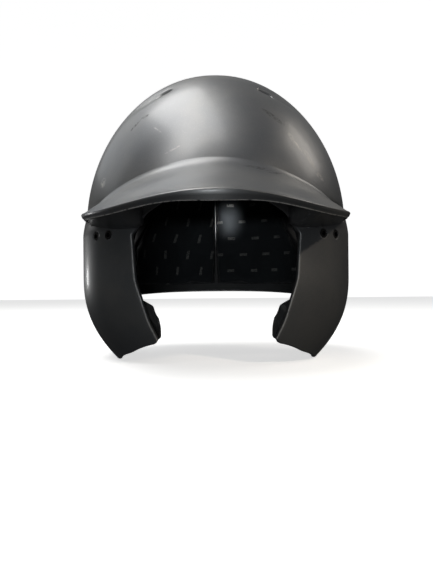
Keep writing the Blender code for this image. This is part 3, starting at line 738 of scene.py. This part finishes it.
BOND_GAP = 0.8 * MM
FOAM_THICKNESS = 11 * MM
PAD_THICKNESS = 9 * MM
EAR_FOAM_THICKNESS = 8 * MM
JAW_PAD_THICKNESS = 18 * MM
FASTENER_THICKNESS = 1.5 * MM
FOAM_OUTER = WALL + BOND_GAP
PAD_OUTER = FOAM_OUTER + FOAM_THICKNESS + BOND_GAP
JAW_OUTER = WALL + FASTENER_THICKNESS + 2 * BOND_GAP
LINER_TOP = 178 * MM
LINER_FOOT = NAPE_HEIGHT + 4 * MM
REAR_SEAM_HALF = 0.4 * MM
SEAM_ANGLE = math.pi - REAR_SEAM_HALF / DOME_HALF_WIDTH
SEAM_DEGREES = math.degrees(SEAM_ANGLE)
# How square a layer's border is: the higher, the squarer.
FOAM_EDGE = 12
PAD_EDGE = 6
BROW_PAD_EDGE = 5
SOFT_EDGE = 4
PAD_FILL = 0.6
JAW_PAD_FILL = 0.7
JAW_PAD_TAPER = 0.35
JAW_TAPE_MARGIN = 0.4
FOAM_SHARP_ANGLE = math.radians(40)
EAR_PLUG_MARGIN = 3 * MM
EAR_PLUG_REACH = (60 * MM, 130 * MM)
EAR_PLUG_SIDES = 72
# How much larger than its pad the cloth is cut.
PAD_SLACK = 0.03
JAW_PAD_SLACK = 0.06


class Patch:
    """Outline of a layer on the shell: two heights, and the angles spanned at each of them."""

    def __init__(self, bottom, top, foot_span, top_span, corner=0.3):
        self.levels = (float(height_level(bottom)), float(height_level(top)))
        self.foot_span = np.radians(foot_span)
        self.top_span = np.radians(top_span)
        self.corner = corner

    def changed(self, levels, foot_span, top_span):
        other = Patch(EQUATOR, EQUATOR, (0, 0), (0, 0), self.corner)
        other.levels, other.foot_span, other.top_span = levels, foot_span, top_span
        return other

    def on_side(self, side):
        """The patch as given for the left, mirrored for the right."""
        if side == LEFT:
            return self
        return self.changed(self.levels, -self.foot_span, -self.top_span)

    def shrunk(self, margin):
        keep = 1.0 - margin
        middle = sum(self.levels) / 2.0
        return self.changed(
            tuple(mix(middle, level, keep) for level in self.levels),
            mix(self.foot_span.mean(), self.foot_span, keep),
            mix(self.top_span.mean(), self.top_span, keep),
        )

    def place(self, u, v):
        """Angle and level at u, v in -1..1."""
        u, v = (
            u * np.sqrt(1.0 - self.corner * v * v / 2.0),
            v * np.sqrt(1.0 - self.corner * u * u / 2.0),
        )
        up = (v + 1.0) / 2.0
        start = mix(self.foot_span[0], self.top_span[0], up)
        end = mix(self.foot_span[1], self.top_span[1], up)
        return mix(start, end, (u + 1.0) / 2.0), mix(*self.levels, up)

    def size(self):
        """Width and height in metres."""
        widest = max(abs(np.ptp(self.foot_span)), abs(np.ptp(self.top_span)))
        tall = level_height(self.levels[1]) - level_height(self.levels[0])
        return widest * DOME_HALF_WIDTH, float(tall)


PATCHES = {
    "temple": Patch(104 * MM, LINER_TOP, (45, 92), (45, 92)),
    "side": Patch(LINER_FOOT, LINER_TOP, (108, 117), (100, 142), 0.15),
    "rear": Patch(LINER_FOOT, LINER_TOP, (122, SEAM_DEGREES), (152, SEAM_DEGREES), 0.12),
}
BROW_PATCH = Patch(113 * MM, LINER_TOP, (-40, 40), (-38, 38))
EAR_PATCH = Patch(27 * MM, 91 * MM, (74, 104.5), (74, 104.5), 0.15)
JAW_PATCH = Patch(13 * MM, 46 * MM, (33, 71), (33, 71), 0.4)
CROWN_EDGE = 211 * MM
REMESH_SIZE = 4.5 * MM
SIMULATION_FRAMES = 20
HELD_SHARE = 0.4
MOST_TRAVEL = 2.2 * MM
PIPING_RADIUS = 0.6 * MM
PIPING_SIDES = 8
SEAM_SMOOTHING = 6
LOOP_STEPS = 39
CROWN_FASTENER_EDGE = 215 * MM


def pillow(name, look, patch, outer, thickness, edge, step=2.5 * MM, back=0.3, taper=0.0):
    """A closed layer on the shell. Edge is how square its border is; back, the share behind it."""
    wide, tall = patch.size()
    columns = max(9, int(wide / step))
    rows = max(9, int(tall / step))
    spread = np.sin(np.linspace(-1.0, 1.0, columns) * math.pi / 2.0)
    climb = np.sin(np.linspace(-1.0, 1.0, rows) * math.pi / 2.0)
    v, u = np.meshgrid(climb, spread, indexing="ij")
    crown = ((1.0 - np.abs(u) ** edge) * (1.0 - np.abs(v) ** edge)).clip(0.0) ** (1.0 / edge)
    crown = crown * (1.0 - taper * np.clip(v, 0.0, 1.0) ** 2)
    angle, level = patch.place(u, v)
    points = []
    for side in (-back, 1.0 - back):
        inset = outer + thickness * (back + side * crown)
        points.append(surface(angle, level_height(level, inset), inset).reshape(-1, 3))
    count = rows * columns
    first = np.arange(count).reshape(rows, columns)
    second = first + count
    border = np.ones((rows, columns), bool)
    border[1:-1, 1:-1] = False
    second[border] = first[border]
    faces = grid_faces(first) + grid_faces(second, flip=True)
    return solid_object(name, np.concatenate(points), faces, look)


def crown_disc(name, look, edge_height, outer, thickness, edge, back=0.3):
    """A closed round layer under the apex."""
    rim = float(height_level(edge_height))
    rings = np.sin(np.linspace(0.0, 1.0, 16)[1:] * math.pi / 2.0)
    turns = np.arange(72) * 2.0 * math.pi / 72
    share, angle = np.meshgrid(rings, turns, indexing="ij")
    crown = (1.0 - share**edge).clip(0.0) ** (1.0 / edge)
    points = []
    faces = []
    count = share.size
    for number, side in enumerate((-back, 1.0 - back)):
        inset = outer + thickness * (back + side * crown)
        height = level_height(mix(1.0, rim, share), inset)
        points.append(surface(angle, height, inset).reshape(-1, 3))
        apex = outer + thickness * (back + side)
        points.append(np.array([[0.0, CENTRE_Y, EQUATOR + DOME_HEIGHT - apex]]))
        index = number * (count + 1) + np.arange(count).reshape(share.shape)
        if number:
            index[-1] = np.arange(count).reshape(share.shape)[-1]
        tip = number * (count + 1) + count
        faces += grid_faces(index, flip=bool(number), wrap=True)
        ring = np.append(index[0], index[0, 0])
        faces += [(tip, int(near), int(far)) for near, far in zip(ring, ring[1:])]
    return solid_object(name, np.concatenate(points), faces, look)


def inset_of(points):
    """How far inside the shell's outer face each point lies."""
    low = np.zeros(len(points))
    high = np.full(len(points), 60 * MM)
    across = np.abs(points[:, 0])
    along = points[:, 1] - CENTRE_Y
    for _ in range(32):
        middle = (low + high) / 2.0
        inside = within(across, along, points[:, 2], middle)
        inside &= points[:, 2] < EQUATOR + DOME_HEIGHT - middle
        low = np.where(inside, middle, low)
        high = np.where(inside, high, middle)
    return low


def prepare_cloth(pad, outer, thickness, slack):
    """A fine closed cover held at the pad's back and free to puff and crease over its face."""
    remesh = pad.modifiers.new("remesh", "REMESH")
    remesh.mode = "VOXEL"
    remesh.voxel_size = REMESH_SIZE
    settle(pad)
    depth = inset_of(vertex_array(pad.data))
    held = pad.vertex_groups.new(name="held")
    held.add(np.where(depth < outer + HELD_SHARE * thickness)[0].tolist(), 1.0, "REPLACE")
    cloth = pad.modifiers.new("cloth", "CLOTH")
    settings = cloth.settings
    settings.vertex_group_mass = "held"
    settings.use_pressure = True
    settings.uniform_pressure_force = 4.0
    settings.effector_weights.gravity = 0.0
    settings.shrink_min = -slack
    settings.mass = 0.2
    settings.quality = 5
    settings.bending_stiffness = 0.3
    cloth.point_cache.frame_start = 1
    cloth.point_cache.frame_end = SIMULATION_FRAMES


def capped(before, after, outer, side):
    """The simulated points, their travel limited so that the pad stays clear of the others."""
    travel = after - before
    far = np.linalg.norm(travel, axis=-1, keepdims=True)
    travel *= np.minimum(1.0, MOST_TRAVEL / np.maximum(far, 1e-9))
    points = before + travel
    short = outer - inset_of(points)
    middle = np.array((0.0, CENTRE_Y, 0.0))
    inward = unit((middle - points) * (1.0, 1.0, 0.0))
    points = points + inward * np.maximum(short, 0.0)[:, None]
    if side:
        points[:, 0] = side * np.maximum(points[:, 0] * side, REAR_SEAM_HALF)
    return points


def simulate_pads(pads):
    """Cloth simulation of all pads at once, each (object, outer, thickness, slack, side)."""
    scene = bpy.context.scene
    for pad, outer, thickness, slack, _ in pads:
        prepare_cloth(pad, outer, thickness, slack)
    starts = [vertex_array(pad.data) for pad, *_ in pads]
    scene.frame_start = 1
    scene.frame_end = SIMULATION_FRAMES
    for step in range(1, SIMULATION_FRAMES + 1):
        scene.frame_set(step)
    ends = [vertex_array(evaluated_mesh(pad)) for pad, *_ in pads]
    for (pad, outer, _, _, side), before, after in zip(pads, starts, ends):
        pad.modifiers.clear()
        pad.vertex_groups.clear()
        pad.data.vertices.foreach_set("co", capped(before, after, outer, side).ravel())
        smooth = pad.modifiers.new("subdivide", "SUBSURF")
        smooth.levels = smooth.render_levels = 1
        settle(pad)
        shade_smooth(pad.data)
    scene.frame_set(1)


def sew_piping(pad, loop, look):
    """Joins a thin closed cord to the pad, along the seam round its edge."""
    tree = BVHTree.FromPolygons(
        vertex_array(pad.data).tolist(), [tuple(face.vertices) for face in pad.data.polygons]
    )
    loop = np.array([tree.find_nearest(Vector(point))[0] for point in loop])
    for _ in range(SEAM_SMOOTHING):
        loop = (np.roll(loop, 1, 0) + 2.0 * loop + np.roll(loop, -1, 0)) / 4.0
    along = unit(np.roll(loop, -1, 0) - np.roll(loop, 1, 0))
    outward = unit((loop - (0.0, CENTRE_Y, 0.0)) * (1.0, 1.0, 0.0))
    outward = unit(outward - along * (outward * along).sum(-1, keepdims=True))
    beside = np.cross(along, outward)
    turns = np.arange(PIPING_SIDES) * 2.0 * math.pi / PIPING_SIDES
    rings = [
        loop + (outward * math.cos(turn) + beside * math.sin(turn)) * PIPING_RADIUS
        for turn in turns
    ]
    count = len(loop)
    index = np.arange(PIPING_SIDES * count).reshape(PIPING_SIDES, count)
    index = np.concatenate((index, index[:1]))
    faces = grid_faces(index, wrap=True)
    join(pad, solid_object("piping", np.concatenate(rings), faces, look))


def patch_loop(patch, inset, margin=0.015):
    """Points round the outline of a patch at an inset."""
    side = np.linspace(-1.0, 1.0, LOOP_STEPS + 1)[:-1]
    end = np.ones(LOOP_STEPS)
    square = np.concatenate(
        [np.stack(pair, -1) for pair in ((side, -end), (end, side), (-side, end), (-end, -side))]
    )
    u, v = (square * (1.0 - margin)).T
    angle, level = patch.place(u, v)
    return surface(angle, level_height(level, inset), inset)


def finish_layer(obj, node):
    lay_surface_map(obj)
    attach(obj, "root")
    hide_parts(node)


# ---------------------------------------------------------------- materials


class Look:
    """A Principled material and short ways to add nodes to it."""

    def __init__(self, name, color, roughness, metallic=0.0):
        self.material = bpy.data.materials.new(name)
        self.material.use_nodes = True
        self.tree = self.material.node_tree
        self.shader = self.tree.nodes["Principled BSDF"]
        self.put("Base Color", (*color, 1.0))
        self.put("Roughness", roughness)
        self.put("Metallic", metallic)
        self.material.diffuse_color = (*color, 1.0)

    def feed(self, socket, value):
        """Links the socket to an output, or sets it to a plain value."""
        if hasattr(value, "is_output"):
            self.tree.links.new(value, socket)
        else:
            socket.default_value = value

    def put(self, socket, value):
        self.feed(self.shader.inputs[socket], value)

    def node(self, kind, **inputs):
        """A new node. A key is a socket's name, or i and its number."""
        made = self.tree.nodes.new(kind)
        for key, value in inputs.items():
            numbered = key[0] == "i" and key[1:].isdigit()
            self.feed(made.inputs[int(key[1:]) if numbered else key], value)
        return made

    def math(self, operation, first, second=0.0):
        made = self.tree.nodes.new("ShaderNodeMath")
        made.operation = operation
        self.feed(made.inputs[0], first)
        self.feed(made.inputs[1], second)
        return made.outputs[0]

    def times(self, first, second):
        return self.math("MULTIPLY", first, second)

    def plus(self, first, second):
        return self.math("ADD", first, second)

    def minus(self, first, second):
        return self.math("SUBTRACT", first, second)

    def position(self):
        return self.tree.nodes.new("ShaderNodeTexCoord").outputs["Object"]

    def surface_map(self):
        coords = self.tree.nodes.new("ShaderNodeUVMap")
        coords.uv_map = "surface_map"
        parts = self.node("ShaderNodeSeparateXYZ", i0=coords.outputs[0])
        return parts.outputs[0], parts.outputs[1]

    def noise(self, scale, detail=2.0, rough=0.5, vector=None, distortion=0.0):
        made = self.node(
            "ShaderNodeTexNoise",
            Scale=scale,
            Detail=detail,
            Roughness=rough,
            Distortion=distortion,
            Vector=vector or self.position(),
        )
        return made.outputs["Fac"]

    def ramp(self, value, low, high):
        """Smooth 0 to 1 as the value goes from low to high."""
        made = self.node("ShaderNodeMapRange", Value=value)
        made.interpolation_type = "SMOOTHSTEP"
        made.inputs["From Min"].default_value = low
        made.inputs["From Max"].default_value = high
        return made.outputs[0]

    def blend(self, share, first, second):
        made = self.tree.nodes.new("ShaderNodeMix")
        made.data_type = "RGBA"
        for number, value in ((0, share), (6, first), (7, second)):
            plain = isinstance(value, tuple)
            self.feed(made.inputs[number], (*value, 1.0) if plain else value)
        return made.outputs[2]

    def bump(self, height, distance, strength=1.0, normal=None):
        made = self.node("ShaderNodeBump", Height=height, Distance=distance, Strength=strength)
        if normal is not None:
            self.tree.links.new(normal, made.inputs["Normal"])
        return made.outputs[0]

    def patch_mask(self, around, height, at, size, tilt=0.0, sharp=1.0):
        """1 inside a soft oval on the shell, at (angle in degrees, height in mm), size in mm."""
        across = self.minus(around, math.radians(at[0]) * DOME_HALF_WIDTH)
        up = self.minus(height, at[1] * MM)
        cos, sin = math.cos(math.radians(tilt)), math.sin(math.radians(tilt))
        along = self.plus(self.times(across, cos), self.times(up, sin))
        over = self.minus(self.times(up, cos), self.times(across, sin))
        along = self.math("POWER", self.math("DIVIDE", along, size[0] * MM), 2.0)
        over = self.math("POWER", self.math("DIVIDE", over, size[1] * MM), 2.0)
        far = self.plus(along, over)
        return self.ramp(far, 1.0, 1.0 - sharp)


# Marks on the paint: (angle, height), size in mm, tilt, strength. + lightens, - darkens. The
# lighter marks at about 30 to 36 degrees and 140 to 153 mm are painted highlight streaks on the
# right of the dome; the rest are scuffs.
SCUFFS_AND_HIGHLIGHT_STREAKS = (
    ((-35, 165), (7, 1.5), 52, -0.9),
    ((-31, 171), (5, 1.6), 12, -0.9),
    ((24, 168), (11, 2.6), -40, -0.75),
    ((31.6, 147), (8, 1.3), -62, 0.8),
    ((29.5, 153), (5, 2.6), -75, 0.35),
    ((36, 140), (9, 3.5), -60, 0.35),
    ((-46, 126), (5, 4.5), 10, 0.75),
    ((13, 128), (9, 1.6), -8, -0.7),
    ((18, 125), (7, 1.2), 5, -0.6),
    ((-14, 142), (7, 0.8), 30, 0.35),
    ((40, 128), (6, 2.4), -30, 0.4),
    ((-22, 158), (6, 0.7), -35, 0.3),
    ((-70, 118), (9, 1.0), 12, 0.4),
    ((78, 124), (8, 0.9), -20, 0.4),
    ((150, 150), (10, 1.2), 25, 0.35),
    ((-140, 140), (8, 1.0), -35, 0.35),
    ((170, 170), (9, 2.2), 10, -0.5),
)


def shell_paint():
    look = Look("graphite_paint", (0.19, 0.195, 0.2), 0.4, 0.75)
    around, height = look.surface_map()
    cloudy = look.noise(22.0, 4.0, 0.55)
    flakes = look.noise(2600.0, 1.0)
    grain = look.noise(900.0, 3.0, 0.6)
    color = look.blend(look.ramp(cloudy, 0.35, 0.7), (0.175, 0.18, 0.19), (0.215, 0.215, 0.215))
    color = look.blend(look.times(look.ramp(flakes, 0.62, 0.8), 0.35), color, (0.5, 0.5, 0.5))
    break_up = look.ramp(look.noise(420.0, 4.0, 0.65), 0.36, 0.62)
    roughness = look.plus(0.37, look.times(cloudy, 0.08))
    # Lighter marks blend toward pale grey and darker ones toward near black; the lighter ones on
    # the right of the dome are painted highlight streaks.
    for at, size, tilt, strength in SCUFFS_AND_HIGHLIGHT_STREAKS:
        mask = look.patch_mask(around, height, at, size, tilt, 0.9)
        mask = look.times(look.times(mask, break_up), abs(strength))
        target = (0.62, 0.6, 0.57) if strength > 0 else (0.05, 0.05, 0.052)
        color = look.blend(mask, color, target)
        roughness = look.plus(roughness, look.times(mask, 0.2))
    # Painted highlight with edge wear: near-white lines along the flap rims and the lip's foot,
    # where the rounded edges catch light, broken into chips.
    edge_highlight_and_wear_share = look.tree.nodes.new("ShaderNodeAttribute")
    edge_highlight_and_wear_share.attribute_name = "edge_highlight_and_wear"
    chips = look.ramp(look.noise(300.0, 3.0, 0.6), 0.3, 0.5)
    edge_highlight_and_wear_share = look.times(look.ramp(edge_highlight_and_wear_share.outputs["Fac"], 0.2, 0.8), look.times(chips, 0.85))
    color = look.blend(edge_highlight_and_wear_share, color, (0.9, 0.87, 0.82))
    look.put("Base Color", color)
    look.put("Roughness", look.plus(roughness, look.times(edge_highlight_and_wear_share, 0.25)))
    look.put("Metallic", look.minus(0.75, look.times(edge_highlight_and_wear_share, 0.8)))
    look.put("Normal", look.bump(grain, 0.05 * MM, 0.35))
    look.put("Coat Weight", 0.25)
    look.put("Coat Roughness", 0.16)
    return look.material


WEAVE_PITCH = 0.9 * MM
WEAVE_DEPTH = 0.12 * MM


def weave_bump(look, around, height):
    across = look.math("SINE", look.times(around, 2.0 * math.pi / WEAVE_PITCH))
    up = look.math("SINE", look.times(height, 2.0 * math.pi / WEAVE_PITCH))
    return look.bump(look.times(across, up), WEAVE_DEPTH, 0.6)


def pad_cloth(name, marks=None):
    look = Look(name, (0.012, 0.013, 0.015), 0.72)
    around, height = look.surface_map()
    shade = look.noise(60.0, 3.0)
    color = look.blend(shade, (0.011, 0.014, 0.017), (0.02, 0.024, 0.028))
    if marks is not None:
        color = mark_color(look, around, height, color, marks)
    look.put("Base Color", color)
    look.put("Normal", weave_bump(look, around, height))
    look.put("Sheen Weight", 0.15)
    look.put("Sheen Roughness", 0.5)
    look.put("Specular IOR Level", 0.3)
    return look.material


def jaw_cloth():
    """Brushed charcoal cloth with soft lighter streaks that follow the flap's rim: painted
    highlight streaks on the pile.
    """
    look = Look("jaw_pad_cloth", (0.03, 0.03, 0.032), 0.8)
    around, height = look.surface_map()
    lean = look.plus(around, look.times(height, 0.35))
    long_way = look.times(height, 0.22)
    place = look.node("ShaderNodeCombineXYZ", i0=lean, i1=long_way)
    highlight_streaks = look.noise(260.0, 3.0, 0.55, place.outputs[0], 0.3)
    shade = look.noise(70.0, 2.0)
    color = look.blend(shade, (0.026, 0.026, 0.028), (0.05, 0.05, 0.052))
    # Painted highlight: pale streaks over the dark cloth, where the pile catches light.
    color = look.blend(look.times(look.ramp(highlight_streaks, 0.5, 0.72), 0.75), color, (0.17, 0.168, 0.16))
    look.put("Base Color", color)
    look.put("Normal", weave_bump(look, around, height))
    look.put("Sheen Weight", 0.25)
    look.put("Sheen Roughness", 0.5)
    return look.material


MARK_PITCH = 24 * MM
MARK_ROW = 15.4 * MM


def mark_color(look, around, height, color, marks):
    """Small generic woven bars in staggered rows. Marks is (half width, half height, lean)."""
    row = look.math("DIVIDE", height, MARK_ROW)
    number = look.math("FLOOR", row)
    stagger = look.times(look.math("PINGPONG", number, 1.0), 0.5)
    cell = look.math("FRACT", look.plus(look.math("DIVIDE", around, MARK_PITCH), stagger))
    across = look.times(look.minus(cell, 0.5), MARK_PITCH)
    up = look.times(look.minus(look.math("FRACT", row), 0.5), MARK_ROW)
    across = look.minus(across, look.times(up, marks[2]))
    inside = look.times(bar(look, across, marks[0]), bar(look, up, marks[1]))
    fray = look.ramp(look.noise(1400.0, 2.0), 0.3, 0.6)
    share = look.times(look.times(inside, fray), 0.8)
    return look.blend(share, color, (0.24, 0.24, 0.23))


def bar(look, value, half):
    return look.ramp(look.math("ABSOLUTE", value), half, half * 0.7)


def impact_foam():
    look = Look("closed_cell_foam", (0.03, 0.03, 0.032), 0.85)
    cells = look.tree.nodes.new("ShaderNodeTexVoronoi")
    cells.inputs["Scale"].default_value = 900.0
    look.tree.links.new(look.position(), cells.inputs["Vector"])
    shade = look.noise(80.0, 3.0)
    look.put("Base Color", look.blend(shade, (0.022, 0.022, 0.024), (0.04, 0.04, 0.042)))
    look.put("Normal", look.bump(cells.outputs["Distance"], 0.2 * MM, 0.5))
    return look.material


def hook_tape():
    look = Look("hook_and_loop_tape", (0.02, 0.02, 0.02), 0.9)
    fuzz = look.noise(2200.0, 2.0)
    look.put("Base Color", look.blend(fuzz, (0.01, 0.01, 0.01), (0.04, 0.04, 0.04)))
    look.put("Normal", look.bump(fuzz, 0.3 * MM, 0.8))
    return look.material


def insert_steel():
    look = Look("plated_steel", (0.2, 0.195, 0.19), 0.3, 1.0)
    wear = look.noise(700.0, 3.0)
    look.put("Roughness", look.plus(0.22, look.times(wear, 0.2)))
    look.put("Base Color", look.blend(wear, (0.03, 0.03, 0.029), (0.16, 0.155, 0.15)))
    return look.material


# ---------------------------------------------------------------- assembly


def ear_cutter(side):
    def place(outline, depth):
        points = ear_place(side)(outline, FOAM_OUTER)
        points[:, 0] = side * depth
        return points

    ring = circle(EAR_RADIUS + EAR_PLUG_MARGIN, EAR_PLUG_SIDES)
    rings = [place(ring, depth) for depth in EAR_PLUG_REACH]
    index = np.arange(2 * EAR_PLUG_SIDES).reshape(2, EAR_PLUG_SIDES)
    faces = grid_faces(index, wrap=True) + [index[0].tolist(), index[1][::-1].tolist()]
    return solid_object("ear_plug", np.concatenate(rings), faces)


def liner(looks):
    """The impact foam, the hook-and-loop tape, and the steel of the inserts."""
    foam, tape = looks["foam"], looks["tape"]

    def add_foam(make, place, outline):
        made = make(f"{place}_impact_foam", foam, outline, FOAM_OUTER, FOAM_THICKNESS, FOAM_EDGE)
        finish_layer(made, f"{place}_foam")

    add_foam(pillow, "brow", BROW_PATCH)
    add_foam(crown_disc, "crown", CROWN_EDGE)
    made = crown_disc(
        "crown_tape", tape, CROWN_FASTENER_EDGE, PAD_OUTER, FASTENER_THICKNESS, FOAM_EDGE, 0.5
    )
    finish_layer(made, "crown_pad_fastener")
    for label, side in SIDES.items():
        for zone, outline in PATCHES.items():
            add_foam(pillow, f"{label}_{zone}", outline.on_side(side))
        ear_foam(label, side, foam)
        jaw = JAW_PATCH.on_side(side).shrunk(JAW_TAPE_MARGIN)
        made = pillow(
            f"{label}_jaw_tape", tape, jaw, FOAM_OUTER, FASTENER_THICKNESS, FOAM_EDGE, back=0.5
        )
        finish_layer(made, f"{label}_jaw_pad_fastener")
        for place in ("front", "rear"):
            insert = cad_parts[f"{label}_{place}_face_guard_insert"]
            insert.data.materials.clear()
            insert.data.materials.append(looks["steel"])


def ear_foam(label, side, look):
    ear = EAR_PATCH.on_side(side)
    foam = pillow(
        f"{label}_ear_impact_foam", look, ear, FOAM_OUTER, EAR_FOAM_THICKNESS, FOAM_EDGE
    )
    cut_away(foam, ear_cutter(side))
    foam.data.set_sharp_from_angle(angle=FOAM_SHARP_ANGLE)
    finish_layer(foam, f"{label}_ear_foam")


def comfort_pads(looks):
    """Every soft pad: shaped, simulated together, then given its piping and map."""
    made = []

    def add(
        place, look, patch, edge, outer=PAD_OUTER, thickness=PAD_THICKNESS,
        slack=PAD_SLACK, side=0, back=0.3, fill=PAD_FILL, taper=0.0,
    ):
        name = f"{place}_comfort_pad"
        pad = pillow(name, look, patch, outer, thickness, edge, back=back, taper=taper)
        loop = patch_loop(patch, outer + thickness * back)
        cloth = (pad, outer, thickness, slack, side)
        made.append((cloth, f"{place}_pad", loop, fill, look))

    black = looks["cloth"]
    add("brow", black, BROW_PATCH, BROW_PAD_EDGE)
    for label, side in SIDES.items():
        for zone, outline in PATCHES.items():
            rear = zone == "rear"
            add(
                f"{label}_{zone}", looks[f"{label}_marks"] if rear else black,
                outline.on_side(side), PAD_EDGE, side=side if rear else 0,
            )
        add(
            f"{label}_jaw", looks["jaw_cloth"], JAW_PATCH.on_side(side), SOFT_EDGE, JAW_OUTER,
            JAW_PAD_THICKNESS, JAW_PAD_SLACK, back=0.4, fill=JAW_PAD_FILL, taper=JAW_PAD_TAPER,
        )
    outer = PAD_OUTER + FASTENER_THICKNESS + BOND_GAP
    crown = crown_disc("crown_comfort_pad", black, CROWN_EDGE, outer, PAD_THICKNESS, SOFT_EDGE)
    cloth = (crown, outer, PAD_THICKNESS, PAD_SLACK, 0)
    made.append((cloth, "crown_pad", None, PAD_FILL, black))
    simulate_pads([cloth for cloth, *_ in made])
    for (pad, *_), node, loop, fill, look in made:
        if loop is not None:
            sew_piping(pad, loop, look)
        finish_layer(pad, node)


# ---------------------------------------------------------------- stage, lights, camera


def aim(obj, target):
    obj.rotation_mode = "QUATERNION"
    obj.rotation_quaternion = (Vector(target) - obj.location).to_track_quat("-Z", "Y")


def area_light(name, place, target, size, power, color=(1.0, 1.0, 1.0)):
    data = bpy.data.lights.new(name, "AREA")
    data.shape = "RECTANGLE"
    data.size, data.size_y = size
    data.energy = power
    data.color = color
    made = bpy.data.objects.new(name, data)
    made.location = place
    bpy.context.scene.collection.objects.link(made)
    aim(made, target)
    return made


def stage_look(name, color, strength=0.0):
    look = Look(name, color, 0.9)
    if strength:
        look.put("Emission Color", (*color, 1.0))
        look.put("Emission Strength", strength)
    return look.material


WORLD_LOW = 0.02
WORLD_HIGH = 0.16
STAGE_HALF = 3.0
FLOOR_HEIGHT = -0.0006
BACKDROP_RADIUS = 4.0
BACKDROP_TURNS = 48
BACKDROP_RINGS = 25


def set_stage():
    corners = ((-1, -1), (1, -1), (1, 1), (-1, 1))
    floor = mesh_object(
        "floor",
        [(STAGE_HALF * x, STAGE_HALF * y, FLOOR_HEIGHT) for x, y in corners],
        [(0, 1, 2, 3)],
        stage_look("pale_floor", (0.8, 0.8, 0.8), 0.8),
    )
    floor.visible_glossy = False
    floor.visible_diffuse = False
    set_world()
    pale = stage_look("pale_backdrop", (1.0, 1.0, 1.0), 0.95)
    backdrop = mesh_object("backdrop", *sphere(BACKDROP_RADIUS), pale)
    for ray in ("visible_glossy", "visible_diffuse", "visible_transmission", "visible_shadow"):
        setattr(backdrop, ray, False)


def set_world():
    """A soft room: bright above, dark below, so that the shell shades from top to bottom."""
    world = bpy.data.worlds.new("soft_room")
    world.use_nodes = True
    tree = world.node_tree
    coords = tree.nodes.new("ShaderNodeTexCoord")
    parts = tree.nodes.new("ShaderNodeSeparateXYZ")
    tree.links.new(coords.outputs["Generated"], parts.inputs[0])
    ramp = tree.nodes.new("ShaderNodeValToRGB")
    tree.links.new(parts.outputs["Z"], ramp.inputs[0])
    stops = ((0.0, WORLD_LOW), (0.12, WORLD_LOW), (0.5, WORLD_HIGH), (1.0, WORLD_HIGH))
    for number, (place, level) in enumerate(stops):
        elements = ramp.color_ramp.elements
        stop = elements[number] if number < 2 else elements.new(place)
        stop.position = place
        stop.color = (level * 0.97, level * 0.99, level, 1.0)
    background = tree.nodes["Background"]
    tree.links.new(ramp.outputs[0], background.inputs[0])
    bpy.context.scene.world = world


def sphere(radius):
    turns = np.arange(BACKDROP_TURNS) * 2.0 * math.pi / BACKDROP_TURNS
    rise = np.linspace(-math.pi / 2.0, math.pi / 2.0, BACKDROP_RINGS)
    lift, turn = np.meshgrid(rise, turns, indexing="ij")
    flat = np.cos(lift)
    points = np.stack((flat * np.cos(turn), flat * np.sin(turn), np.sin(lift)), -1)
    index = np.arange(lift.size).reshape(lift.shape)
    return points.reshape(-1, 3) * radius, grid_faces(index, wrap=True)


DOME = (0.0, 0.0, 0.15)
WARM = (1.0, 0.985, 0.95)
# Name, place, target, size, watts, colour.
LIGHTS = (
    ("key", (-0.3, -0.06, 1.25), DOME, (1.4, 0.62), 12.0, WARM),
    ("front_top", (-0.5, -0.7, 1.0), DOME, (0.5, 0.5), 2.4, WARM),
    ("left_fill", (-0.8, 0.55, 0.95), DOME, (1.1, 1.1), 2.6, (0.94, 0.975, 1.0)),
    ("right_kicker", (0.95, 0.27, 0.84), DOME, (0.5, 0.5), 2.0, (1.0, 0.93, 0.84)),
    ("left_rim", (-0.94, 0.81, 0.07), (-0.1, -0.05, 0.06), (0.12, 0.08), 0.5),
    ("front_fill", (-0.1, -1.3, 0.03), (0.0, 0.0, 0.1), (0.3, 0.04), 2.1, (0.92, 0.97, 1.0)),
)
# Two narrow lights stand for patches of sun: on the right flap, and on the liner.
FLAP_SUN = ((0.6, -0.62, 0.55), (0.075, -0.06, 0.03), (0.05, 0.05), 0.018, (1.0, 0.88, 0.72))
FLAP_SUN_SPREAD = math.radians(14)
LINER_SUN = ((0.02, -0.3, 0.06), (0.013, 0.122, 0.117), (0.012, 0.02), 0.0025)
LINER_SUN_SPREAD = math.radians(3)


def set_lights():
    for light in LIGHTS:
        area_light(*light)
    sun = area_light("right_front", *FLAP_SUN)
    sun.data.spread = FLAP_SUN_SPREAD
    patch = area_light("liner_patch", *LINER_SUN)
    patch.data.spread = LINER_SUN_SPREAD
    patch.visible_camera = False


FILM_PIXELS = 577.0
FILM_WIDTH = 36.0
FOCAL_PIXELS = 643.0
SHIFT_PIXELS = 1.7
CAMERA_X = -0.0011
CAMERA_AWAY = 0.52
CAMERA_HEIGHT = 0.0525
CAMERA_ROLL = math.radians(0.5)


def set_camera():
    data = bpy.data.cameras.new("camera")
    data.sensor_fit = "AUTO"
    data.sensor_width = FILM_WIDTH
    data.lens = FOCAL_PIXELS / FILM_PIXELS * FILM_WIDTH
    data.shift_x = SHIFT_PIXELS / FILM_PIXELS
    data.clip_start = 0.01
    data.clip_end = 50.0
    made = bpy.data.objects.new("camera", data)
    made.location = (CAMERA_X, CENTRE_Y - CAMERA_AWAY, CAMERA_HEIGHT)
    made.rotation_euler = (math.pi / 2.0, CAMERA_ROLL, 0.0)
    bpy.context.scene.collection.objects.link(made)
    bpy.context.scene.camera = made


LOOKS = {
    "paint": shell_paint(),
    "foam": impact_foam(),
    "cloth": pad_cloth("pad_cloth_black"),
    "jaw_cloth": jaw_cloth(),
    "left_marks": pad_cloth("pad_cloth_left_marks", (4.2 * MM, 1.5 * MM, 0.0)),
    "right_marks": pad_cloth("pad_cloth_right_marks", (1.5 * MM, 4.6 * MM, -0.25)),
    "tape": hook_tape(),
    "steel": insert_steel(),
}
outer_shell(LOOKS["paint"])
liner(LOOKS)
comfort_pads(LOOKS)
set_stage()
set_lights()
set_camera()
bpy.context.scene.view_settings.view_transform = "Standard"
